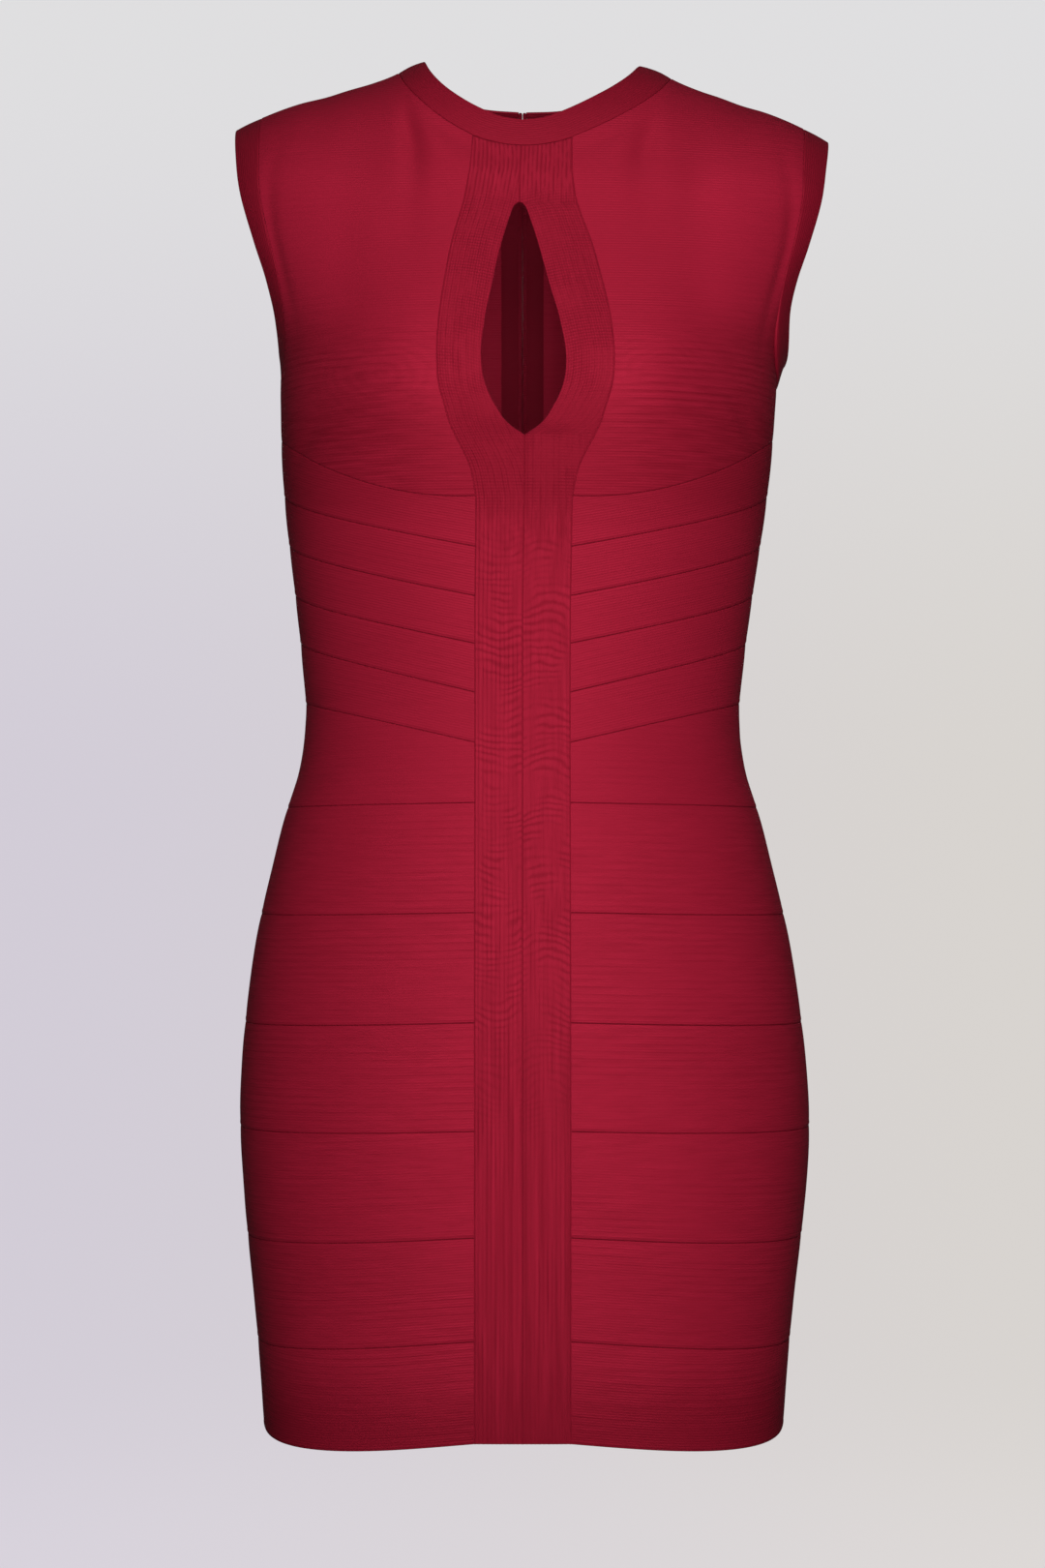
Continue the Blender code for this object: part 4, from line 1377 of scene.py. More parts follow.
@dataclass
class CentreStrips:
    """The two ribbed strips, sewn together at centre front and parted round the keyhole."""

    cut: Cut
    pillow: float = 0.25
    rib_pitch: float = 2.4
    rib_height: float = 0.14
    calm: float = 0.65
    calm_at: float = 0.83
    calm_reach: float = 75.0
    long_step: float = 3.2
    keyhole_step: float = 0.9
    point_reach: float = 7.0
    neck_blend: float = 20.0

    def _heights(self) -> np.ndarray:
        """Rows from the hem to the neckband, closer at the keyhole and at both ends."""
        cut, near, reach, step = self.cut, CLOTH_STEP.near(), self.point_reach, self.keyhole_step
        hem, low, high, top = cut.hem, cut.keyhole_low, cut.keyhole_high, cut.neck_seam_middle
        stops = (hem + near[-1], low - reach, low, low + reach * 2, high - reach, high, top - near[-1])
        steps = (self.long_step, step, step / 2, step * 2, step / 2, step * 2)
        rows = [np.linspace(start, end, max(2, round((end - start) / step)) + 1)[:-1]
                for start, end, step in zip(stops[:-1], stops[1:], steps)]
        return np.concatenate([hem + near[:-1], *rows, top - near[::-1]])

    def places(self) -> Places:
        """The left strip's grid: from its inner to its outer edge on every row."""
        cut, heights = self.cut, self._heights()
        (neck_across, neck_level), top = cut.neck_seam_front[0], cut.neck_seam_middle
        inner, outer = cut.keyhole(heights), cut.strip_edge(heights)
        narrowed = np.interp(heights, [cut.strip[-1, 0], top], [outer.max(), neck_across])
        outer = np.minimum(outer, narrowed)
        across = inner[:, None] + (outer - inner)[:, None] * FINE_STEP.shares(cut.strip_width)
        lift = (neck_level - top) * (across / neck_across) ** 2
        blend = np.clip((heights - top + self.neck_blend) / self.neck_blend, 0, 1)[:, None] ** 2
        level = heights[:, None] + lift * blend
        return cut.form.to_place(cut.form.angle_at(across, level), level)

    def _ribs(self, along: np.ndarray, up: np.ndarray) -> np.ndarray:
        """Upright ribs, calmer where the strip is stretched round the keyhole."""
        bell = np.exp(-(((up - up.max() * self.calm_at) / self.calm_reach) ** 2))
        return self.rib_height * np.cos(2 * math.pi * along / self.rib_pitch) * (1.0 - self.calm * bell)

    def add(self, material: bpy.types.Material) -> None:
        """Both strips."""
        add_pair(self.cut, self.places(), "centre_strip", material, "ribbed_knit",
                 relief=self._ribs, pillow=self.pillow)


@dataclass
class UpperPanels:
    """The bust panels and the plain back yoke, from the uppermost bands to the shoulder."""

    cut: Cut
    neck_join: float = 13 / 19
    arm_join: float = 3 / 19
    bust_step: Spacing = Spacing(step=2.6)
    yoke_step: Spacing = Spacing(step=3.0)

    def _grid(self, low: Places, left: list[Places], right: list[Places], joins: Pair,
              step: Spacing) -> Places:
        """A grid over a low seam between two edges that each bend at a join.

        Args:
            low: the seam below.
            left: the first column's lines.
            right: the last column's lines.
            joins: the shares where they bend.
            step: how finely they are divided.

        Returns:
            The grid's places.
        """
        form = self.cut.form
        first, last = (Edge(form, lines, (0.0, join, 1.0)) for lines, join in zip((left, right), joins))
        bottom, top = Edge(form, [low]), Edge(form, [np.stack([left[-1][-1], right[-1][-1]])])
        u, v = step.shares(bottom.length()), step.shares(first.length(), joins)
        return patch(bottom, top, first, last, u, v)

    def add_bust(self, material: bpy.types.Material) -> None:
        """Both bust panels, from the strip to the side.

        Args:
            material: their finish.
        """
        cut = self.cut
        low, arm, neck = cut.front_seam(0), cut.arm_line(cut.arm_seam), cut.neck_front()
        places = self._grid(low, [cut.strip_to_neck(), neck], [np.stack([low[-1], arm[0]]), arm],
                            (self.neck_join, self.arm_join), self.bust_step)
        add_pair(cut, places, "bust_panel", material, "band_knit")

    def add_yoke(self, material: bpy.types.Material) -> None:
        """Both back panels, from the side to centre back.

        Args:
            material: their finish.
        """
        cut = self.cut
        low, arm, neck = cut.back_seam(0), behind(cut.arm_line(cut.arm_seam)), cut.neck_back()
        middle = cut.middle_back(cut.seams[0, 2], cut.neck_seam_back[0, 1])
        places = self._grid(low, [np.stack([low[0], arm[0]]), arm], [middle, neck],
                            (self.arm_join, self.neck_join), self.yoke_step)
        add_pair(cut, places, "back_yoke", material, "band_knit")


@dataclass
class Bands:
    """The bands that wrap the body, from under the bust to the hem."""

    cut: Cut
    seam_ridge: float = 0.22
    step: Spacing = CLOTH_STEP

    def _front(self, row: int) -> Places:
        """A left front band's grid, from the strip to the side.

        Args:
            row: the band, counted from the top.

        Returns:
            The grid's places.
        """
        cut = self.cut
        low, high = cut.front_seam(row + 1), cut.front_seam(row)
        inner_end = cut.strip_line(cut.seams[row + 1, 0], cut.seams[row, 0])
        return self._grid([low], [high], inner_end, np.linspace(low[-1], high[-1], cut.samples + 1))

    def _back(self, row: int, whole: bool) -> Places:
        """A back band's grid from the side to centre back, or on to the other side.

        Args:
            row: the band, counted from the top.
            whole: whether it runs across centre back.

        Returns:
            The grid's places.
        """
        cut = self.cut
        low, high = cut.back_seam(row + 1), cut.back_seam(row)
        side_end = np.linspace(low[0], high[0], cut.samples + 1)
        if not whole:
            return self._grid([low], [high], side_end, cut.middle_back(*cut.seams[[row + 1, row], 2]))
        seams = ([line, across_back(line[::-1])] for line in (low, high))
        return self._grid(*seams, side_end, across_back(side_end), (0.0, 0.5, 1.0))

    def _grid(self, low: list[Places], high: list[Places], first: Places, last: Places,
              joins: tuple[float, ...] = (0.0, 1.0)) -> Places:
        """A grid between two seams and two ends.

        Args:
            low: the lower seam's lines.
            high: the upper seam's lines.
            first: the first end.
            last: the last end.
            joins: the shares where the lines meet.

        Returns:
            The grid's places.
        """
        form = self.cut.form
        bottom, top = Edge(form, low, joins), Edge(form, high, joins)
        left, right = Edge(form, [first]), Edge(form, [last])
        u = self.step.shares(bottom.length(), joins[1:-1])
        return patch(bottom, top, left, right, u, self.step.shares(max(left.length(), right.length())))

    def add(self, material: bpy.types.Material) -> None:
        """All bands: split at the sides, at the strips and where the zip parts the back.

        Args:
            material: their finish.
        """
        cut = self.cut
        for row in range(len(cut.seams) - 1):
            name, whole = cut.band_name(row), row >= cut.midriff_bands + cut.zip_end_band
            front, back = self._front(row), self._back(row, whole)
            grids = {}
            for side in Side:
                grids[f"front_{name}_{side.value}"] = side.grid(front)
                if not whole:
                    grids[f"back_{name}_{side.value}"] = side.grid(back)
            if whole:
                grids[f"back_{name}"] = back
            for node, places in grids.items():
                ClothSheet(cut.form, places, ridge=self.seam_ridge).add(node, "knit", material, "band_knit")


@dataclass
class Neckband:
    """The smooth band round the neck, open at centre back where the zip ends."""

    cut: Cut
    width: float = 16.0
    pillow: float = 0.2
    step: Spacing = Spacing(step=2.4, draw_back=2.75)
    width_step: Spacing = Spacing(step=1.8)
    joins: tuple[float, ...] = (0.0, 0.22, 0.5, 0.78, 1.0)

    def _round(self, left: list[Places]) -> Edge:
        """An edge right round the neck: the left half's lines with their mirrors before them."""
        mirrored = [line[::-1] * MIRROR for line in left[::-1]]
        return Edge(self.cut.form, mirrored + left, self.joins)

    def add(self, material: bpy.types.Material) -> None:
        """The band from centre back on the right, over both shoulders, to centre back on the left.

        Args:
            material: its finish.
        """
        cut, form = self.cut, self.cut.form
        front, back = (form.from_middle(evenly(points, cut.samples))
                       for points in (cut.neck_edge_front, cut.neck_edge_back))
        seam = self._round([cut.neck_whole(), cut.neck_back()[::-1]])
        edge = self._round([front, behind(back)[::-1]])
        u = self.step.shares(seam.length(), self.joins[1:-1])
        places = ruled(seam, edge, u, self.width_step.shares(self.width))
        ClothSheet(form, places, pillow=self.pillow).add("neckband", "knit", material, "trim_knit")


@dataclass
class ArmholeBands:
    """The smooth bands round the armholes, closed loops over the shoulder and under the arm."""

    cut: Cut
    width: float = 15.0
    pillow: float = 0.2
    step: Spacing = Spacing(step=2.4)
    width_step: Spacing = Spacing(step=1.6)
    top_join: float = 0.5
    stand_off: float = 5.0
    stand_off_at_seam: float = 0.25
    stand_off_height: float = -150.0
    stand_off_reach: float = 22.0

    def _stand_off(self, places: Places) -> np.ndarray:
        """How far the left band stands off under the arm: a bell by height, most at its free edge."""
        height = self.cut.form.bare(places)[..., 2]
        bell = np.exp(-(((height - self.stand_off_height) / self.stand_off_reach) ** 2))
        return self.stand_off * bell * np.linspace(1, self.stand_off_at_seam, len(places))[:, None]

    def add(self, material: bpy.types.Material) -> None:
        """Both loops: rows from the free edge to the seam, columns up the front first.

        Args:
            material: their finish.
        """
        cut, form = self.cut, self.cut.form
        fronts = [cut.arm_line(points) for points in (cut.arm_edge, cut.arm_seam)]
        joins = (0.0, self.top_join, 1.0)
        edge, seam = (Edge(form, [front, behind(front)[::-1]], joins) for front in fronts)
        u = self.step.shares(seam.length(), (self.top_join,), cut=False)
        left = ruled(edge, seam, u, self.width_step.shares(self.width))
        for side in Side:
            places = side.grid(left)
            offset = self._stand_off(places) if side is Side.LEFT else 0.0
            sheet = ClothSheet(form, places, round=True, pillow=self.pillow, offset=offset)
            sheet.add(f"armhole_band_{side.value}", "knit", material, "trim_knit")


# ---- sewing ----------------------------------------------------------------------------------
TUBE_SIDES = 5
TUBE_TIP = 0.05
YARN_SHARP = 80.0


def tube(points: Points, normals: Points, radius: np.ndarray, flat: float = 1.0) -> Mesh:
    """A tube along a path: circles across it, spanned by the surface's normal and its side.

    Args:
        points: the path's points.
        normals: directions square to the path.
        radius: one radius for each point.
        flat: the circles' height over their width.

    Returns:
        The tube's vertices and quads; its ends are drawn to a point.
    """
    along = unit(np.gradient(points, axis=0))
    side = unit(np.cross(along, normals))
    up = np.cross(side, along)
    turn = np.arange(TUBE_SIDES) * 2 * math.pi / TUBE_SIDES
    radius = radius.copy()
    radius[[0, -1]] *= TUBE_TIP
    circle = np.cos(turn)[None, :, None] * side[:, None] + flat * np.sin(turn)[None, :, None] * up[:, None]
    vertices = points[:, None] + circle * radius[:, None, None]
    return vertices.reshape(-1, 3), quads(ring_index(len(points), TUBE_SIDES))[:, ::-1]


@dataclass
class SeamThreads:
    """The linking stitches that close every seam, lying in the grooves between the pieces."""

    cut: Cut
    depth: float = 0.85
    strip_depth: float = 0.55
    keyhole_depth: float = 0.22
    centre_depth: float = 0.50
    keyhole_span: Pair = (-262.0, -225.0)
    radius: float = 0.36
    stitch: float = 2.3
    swell: float = 0.14
    step: float = 0.62

    def _depth(self, height: np.ndarray, group: str) -> np.ndarray:
        """How deep a thread lies: less beside the strips, and least where they part round the keyhole."""
        if group == "strip":
            return np.interp(height, self.keyhole_span, [self.strip_depth, self.keyhole_depth])
        return np.full_like(height, self.centre_depth if group == "centre_front" else self.depth)

    def _thread(self, line: Places, group: str) -> Mesh:
        """A thread along one seam, fuller at the middle of each stitch.

        Args:
            line: the seam's places.
            group: the group that it is in.

        Returns:
            The thread's mesh.
        """
        length = lengths(self.cut.form.bare(line))
        at = np.linspace(0, length[-1], max(4, round(length[-1] / self.step)))
        points, normals = self.cut.form.creased(read(at, length, line))
        radius = self.radius + self.swell * np.abs(np.sin(math.pi * at / self.stitch))
        depth = self._depth(points[:, 2], group)[:, None]
        return tube((points - normals * depth) * MM, normals, radius * MM)

    def _left(self) -> dict[str, list[Places]]:
        """The left side's seams, in groups."""
        cut, rows = self.cut, range(len(self.cut.seams) - 1)
        flank = cut.form.to_place(90.0, np.linspace(cut.seams[-1, 1], cut.arm_seam[0, 1], cut.samples))
        strip = np.concatenate([cut.strip_line(cut.hem, cut.under_bust), cut.strip_to_neck()[1:]])
        arm, neck = cut.arm_line(cut.arm_seam), cut.neck_whole()
        return {
            "front_bands": [cut.front_seam(row) for row in rows],
            "back_bands": [cut.back_seam(row) for row in rows],
            "side": [flank],
            "strip": [strip],
            "top": [neck, cut.neck_back(), arm, behind(arm), np.stack([neck[-1], arm[-1]])],
        }

    def _middle(self) -> list[Places]:
        """The centre front seam, below and above the keyhole."""
        cut = self.cut
        spans = [(cut.hem, cut.keyhole_low), (cut.keyhole_high, cut.neck_seam_middle)]
        return [cut.form.to_place(0.0, np.linspace(*span, cut.samples)) for span in spans]

    def add(self, material: bpy.types.Material, soft: bpy.types.Material) -> None:
        """One piece of thread for each group of seams, softer in tone along the strips.

        Args:
            material: the finish of most threads.
            soft: the strips' threads' finish.
        """
        for group, lines in self._left().items():
            for side in Side:
                finish = soft if group == "strip" else material
                self._piece(group, f"_{side.value}", [side.line(line) for line in lines], finish)
        self._piece("centre_front", "", self._middle(), soft)

    def _piece(self, group: str, ending: str, lines: list[Places], material: bpy.types.Material) -> None:
        """The threads of several seams as one piece.

        Args:
            group: the group of seams.
            ending: the end of the piece's name.
            lines: the seams.
            material: the threads' finish.
        """
        meshes = [self._thread(line, group) for line in lines]
        starts = np.cumsum([0] + [len(points) for points, _ in meshes[:-1]])
        points = np.concatenate([points for points, _ in meshes])
        faces = np.concatenate([faces + start for (_, faces), start in zip(meshes, starts)])
        piece = mesh_object(f"thread_{group}{ending}", points, faces, sharp=YARN_SHARP)
        dress_piece(piece, material)


# ---- the zip ---------------------------------------------------------------------------------
Part = tuple[Points, list[tuple[int, ...]]]
SOLID_SHARP = 40.0


@dataclass
class ZipFrame:
    """A place on centre back with the directions down the cloth and out of it."""

    form: WornForm
    level: float = 0.0
    span: Pair = (5.0, -24.0)

    def __post_init__(self) -> None:
        """Works out the directions from two heights on centre back."""
        heights = np.array([*self.span, self.level])
        high, low, self.middle = self.form.bare(self.form.to_place(180.0, heights))
        self.down = unit(low - high)
        out = np.cross(self.down, LEFTWARDS)
        self.out = out * np.sign(out[1])

    def points(self, sideways: np.ndarray, along: np.ndarray, outwards: np.ndarray) -> Points:
        """Points in metres from sizes across, down and out."""
        sizes = zip((sideways, along, outwards), (LEFTWARDS, self.down, self.out))
        return sum((np.asarray(size)[..., None] * way for size, way in sizes), start=self.middle) * MM


def loft(rings: Points, closed: bool = False) -> Part:
    """Rings of points joined in order, with flat caps, or the last joined to the first.

    Args:
        rings: an array of rings by points by three.
        closed: whether the last ring meets the first.

    Returns:
        Vertices and faces.
    """
    count, sides = rings.shape[:2]
    index = ring_index(count, sides)
    if closed:
        index = np.concatenate([index, index[:1]])
    faces = [tuple(face) for face in quads(index).tolist()]
    if not closed:
        faces += [tuple(range(sides))[::-1], tuple(range((count - 1) * sides, count * sides))]
    return rings.reshape(-1, 3), faces


def solid(name: str, *parts: Part) -> bpy.types.Object:
    """An object from closed parts, with its faces turned outwards.

    Args:
        name: the object's name.
        parts: vertices and faces of each part.

    Returns:
        The object.
    """
    mesh = bpy.data.meshes.new(name)
    points, faces = [], []
    for part_points, part_faces in parts:
        faces += [tuple(corner + len(points) for corner in face) for face in part_faces]
        points += part_points.tolist()
    mesh.from_pydata(points, [], faces)
    outward(mesh)
    return linked(mesh, SOLID_SHARP)


def rounded(half_width: float, half_length: float, corner: float, count: int) -> Points:
    """A rounded oblong: a superellipse of two half sizes, as pairs.

    Args:
        half_width: half its width.
        half_length: half its length.
        corner: how square it is, from 2 for an oval.
        count: its points.

    Returns:
        The points.
    """
    turn = np.arange(count) * 2 * math.pi / count
    pairs = np.stack([np.cos(turn), np.sin(turn)], axis=-1)
    return [half_width, half_length] * np.sign(pairs) * np.abs(pairs) ** (2 / corner)


@dataclass
class ZipClosure:
    """The centre-back zip: woven tapes, coil teeth, the slider on them and its pull tab."""

    cut: Cut
    tape_from_edge: float = 2.6
    tape_width: float = 10.4
    tape_behind: float = 2.3
    tape_thick: float = 0.8
    tape_below_edge: float = 1.2
    tape_grid: tuple[int, int] = (190, 9)
    coil_pitch: float = 1.35
    coil_behind: float = 2.552
    coil_from_end: float = 2.0
    coil_samples: int = 900
    # across the coil, the tooth's radius there
    tooth: np.ndarray = table(
        (-0.62, 0.02), (-0.5, 0.36), (-0.1, 0.44), (0.3, 0.30), (1.2, 0.28), (2.2, 0.32), (2.9, 0.28),
        (3.0, 0.02))
    tooth_flat: float = 1.15
    plate_corner: float = 3.2
    plate_corners: int = 40
    slider_length: float = 8.6
    slider_width: float = 4.2
    slider_taper: float = 0.8
    slider_inner: float = -3.4
    slider_outer: float = 1.5
    slider_plate: float = 1.1
    slider_bevel: float = 0.3
    neck_widths: Pair = (0.8, 0.5)
    neck_reach: float = 0.34
    neck_middle: float = -0.6
    neck_inset: float = 0.5
    neck_bevel: float = 0.1
    bridge_span: float = 6.0
    bridge_width: float = 1.4
    bridge_bar: float = 0.9
    bridge_rise: float = 2.6
    bridge_sunk: float = 0.3
    bridge_steps: int = 19
    bridge_corner: float = 3.0
    bridge_corners: int = 16
    pull_length: float = 21.0
    pull_width: float = 5.2
    pull_tip_width: float = 3.6
    pull_thick: float = 1.0
    pull_bevel: float = 0.22
    pull_corners: int = 72
    pull_outer_corner: float = 5.0
    pull_window: Pair = (2.7, 4.2)
    pull_window_corner: float = 3.0
    pivot_rise: float = 0.85
    stop_length: float = 4.2
    stop_width: float = 2.3
    stop_gap: float = 0.35
    stop_bevel: float = 0.25
    stop_from_middle: float = 1.25
    stop_levels: Pair = (-3.0, -0.4)

    def __post_init__(self) -> None:
        """Finds the zip's ends and the slider's frame."""
        self.top = self.cut.neck_edge_back[0, 1] - self.tape_below_edge
        self.bottom = self.cut.seams[self.cut.midriff_bands + self.cut.zip_end_band, 2]
        self.frame = ZipFrame(self.cut.form)

    def add_tapes(self, material: bpy.types.Material) -> None:
        """The two tapes behind the back's middle edges, from their outer to their inner edge.

        Args:
            material: their weave.
        """
        rows, columns = self.tape_grid
        heights = np.linspace(self.bottom, self.top, rows)[:, None]
        across = np.linspace(self.tape_from_edge + self.tape_width, self.tape_from_edge, columns)
        places = self.cut.form.to_place(180 - self.cut.form.angle_at(across, heights), heights)
        add_pair(self.cut, places, "zip_tape", material, "zip_tape", weave="woven",
                 thickness=self.tape_thick, behind_form=self.tape_behind, pillow=0.0, stretch=1.0)

    def add_coils(self, material: bpy.types.Material) -> None:
        """Coil teeth: a rounded bar with a head for every turn, the two sides in step by halves.

        Args:
            material: their finish.
        """
        form = self.cut.form
        low, high = self.bottom + self.coil_from_end, -self.slider_length / 2
        path = form.to_place(180.0, np.linspace(low, high, self.coil_samples))
        length = lengths(form.bare(path))
        for side, shift in zip(Side, (0.0, 0.5)):
            at = (np.arange(int(length[-1] / self.coil_pitch) - 1) + shift) * self.coil_pitch
            middle, out = form.creased(read(at, length, path))
            middle = middle - out * self.coil_behind
            along = unit(np.gradient(middle, axis=0))
            points, faces = self._tooth(side)
            placed = (middle[:, None] + points[:, :1] * LEFTWARDS + points[:, 1:2] * along[:, None]
                      + points[:, 2:] * out[:, None]) * MM
            cells = (faces + (np.arange(len(at)) * len(points))[:, None, None]).reshape(-1, 4)
            name = f"zip_coil_{side.value}"
            piece = mesh_object(name, placed.reshape(-1, 3), cells, sharp=YARN_SHARP)
            outward(piece.data)
            dress_piece(piece, material)

    def _tooth(self, side: Side) -> Mesh:
        """One tooth across the coil: a tube whose radius swells at its head.

        Args:
            side: the side of the zip.

        Returns:
            The tooth's mesh.
        """
        points = self.tooth[:, :1] * side.sign * LEFTWARDS
        normals = np.broadcast_to([0.0, 0.0, 1.0], points.shape)
        return tube(points, normals, self.tooth[:, 1], self.tooth_flat)

    def _slab(self, widths: Pair, half: float, levels: Pair, bevel: float, along: float = 0.0,
              aside: float = 0.0) -> Part:
        """A rounded plate that narrows down the cloth, with bevelled rims.

        Args:
            widths: half its width at its upper and its lower end.
            half: half its length.
            levels: how far out its inner and its outer face lie.
            bevel: its rims' bevel.
            along: how far down its middle is.
            aside: how far to the wearer's left its middle is.

        Returns:
            Its vertices and faces.
        """
        outline = rounded(1.0, half, self.plate_corner, self.plate_corners)
        narrow = np.interp(outline[:, 1], [-half, half], widths)
        low, high = levels
        rings = [self.frame.points((narrow - inset) * outline[:, 0] + aside,
                                   outline[:, 1] * (1 - inset / half) + along, level)
                 for inset, level in ((bevel, low), (0.0, low + bevel), (0.0, high - bevel), (bevel, high))]
        return loft(np.array(rings))

    def add_stops(self, material: bpy.types.Material) -> None:
        """The two top stops: small clips round the tapes' inner edges, just over the slider.

        Args:
            material: their finish.
        """
        half_width, half = self.stop_width / 2, self.stop_length / 2
        along = -(self.slider_length / 2 + self.stop_gap + half)
        for side in Side:
            clip = self._slab((half_width, half_width), half, self.stop_levels, self.stop_bevel, along,
                              side.sign * self.stop_from_middle)
            dress_piece(solid(f"zip_top_stop_{side.value}", clip), material)

    def add_slider(self, material: bpy.types.Material) -> None:
        """Two plates joined by a neck between the coils, and an arched bridge for the pull.

        Args:
            material: its enamel.
        """
        half, inner, outer = self.slider_length / 2, self.slider_inner, self.slider_outer
        widths = (self.slider_width / 2, self.slider_width / 2 * self.slider_taper)
        upper = self._slab(widths, half, (outer - self.slider_plate, outer), self.slider_bevel)
        lower = self._slab(widths, half, (inner, inner + self.slider_plate), self.slider_bevel)
        neck = self._slab(self.neck_widths, half * self.neck_reach,
                          (inner + self.neck_inset, outer - self.neck_inset),
                          self.neck_bevel, half * self.neck_middle)
        piece = solid("zip_slider_body", upper, lower, neck, self._bridge())
        dress_piece(piece, material, nodes=["zip_slider"])

    def _bridge(self) -> Part:
        """An arch along the slider: a rounded flat bar carried along half of a squarish loop."""
        turn = np.linspace(0, math.pi, self.bridge_steps)
        bar = self.bridge_bar / 2
        reach, rise = self.bridge_span / 2 - bar, self.bridge_rise - bar + self.bridge_sunk
        along = -reach * np.sign(np.cos(turn)) * np.sqrt(np.abs(np.cos(turn)))
        up = self.slider_outer - self.bridge_sunk + rise * np.sqrt(np.sin(turn))
        path = np.stack([np.zeros_like(along), along, up], axis=-1)
        outer = np.cross(unit(np.gradient(path, axis=0)), LEFTWARDS)
        section = rounded(self.bridge_width / 2, bar, self.bridge_corner, self.bridge_corners)
        rings = path[:, None] + section[:, :1] * LEFTWARDS + section[:, 1:] * outer[:, None]
        return loft(self.frame.points(*np.moveaxis(rings, -1, 0)))

    def add_pull(self, material: bpy.types.Material) -> None:
        """The pull tab: a flat ring round its window that runs out into a tapered tab.

        Args:
            material: its enamel.
        """
        window, reach = self.pull_window
        half, bevel, count = self.pull_thick / 2, self.pull_bevel, self.pull_corners
        inner = rounded(window / 2, (reach - half) / 2, self.pull_window_corner, count)
        inner = inner + [0, (reach + half) / 2]
        tab = (self.pull_length + half) / 2
        outer = rounded(self.pull_width / 2, tab, self.pull_outer_corner, count) + [0, tab - half]
        tip = self.pull_tip_width / self.pull_width
        outer[:, 0] *= np.interp(outer[:, 1], [reach, self.pull_length], [1.0, tip])
        toward = unit(inner - outer) * bevel
        lines = ((outer, bevel - half), (outer, half - bevel),
                 (outer + toward, half), (inner - toward, half),
                 (inner, half - bevel), (inner, bevel - half),
                 (inner - toward, -half), (outer + toward, -half))
        pivot = self.slider_outer + self.pivot_rise
        rings = [self.frame.points(*line.T, pivot + level) for line, level in lines]
        piece = solid("zip_pull_tab", loft(np.array(rings), closed=True))
        dress_piece(piece, material, body="pull", nodes=["zip_pull"])


# ---- studio ----------------------------------------------------------------------------------
@dataclass(frozen=True)
class Softbox:
    """A soft area light, in metres and watts, that the camera doesn't see."""

    name: str
    place: tuple[float, float, float]
    aim: tuple[float, float, float]
    size: Pair
    watts: float
    colour: Colour = (1.0, 1.0, 1.0)
    glossy: bool = True
    spread: float = 180.0

    def add(self) -> None:
        """Sets the light up."""
        data = bpy.data.lights.new(self.name, "AREA")
        data.shape = "RECTANGLE"
        data.size, data.size_y = self.size
        data.energy = self.watts
        data.color = self.colour
        data.spread = math.radians(self.spread)
        lamp = bpy.data.objects.new(self.name, data)
        lamp.location = self.place
        direction = Vector(self.aim) - Vector(self.place)
        lamp.rotation_euler = direction.to_track_quat("-Z", "Y").to_euler()
        lamp.visible_camera = False
        lamp.visible_glossy = self.glossy
        bpy.context.scene.collection.objects.link(lamp)


WARM = (1.0, 0.985, 0.97)
SOFTBOXES = (
    Softbox("front_softbox", (0.05, -1.0, -0.22), (0.0, 0.0, -0.22), (0.36, 1.3), 5.35, WARM, spread=120.0),
    Softbox("top_softbox", (0.12, -1.0, 1.0), (0.0, 0.0, -0.15), (0.6, 0.5), 3.6, WARM),
    Softbox("back_softbox_right", (-0.95, 2.3, 0.35), (0.0, 0.0, -0.38), (0.7, 1.5), 22.0, glossy=False),
    Softbox("back_softbox_left", (0.95, 2.3, 0.35), (0.0, 0.0, -0.38), (0.7, 1.5), 22.0, glossy=False),
)


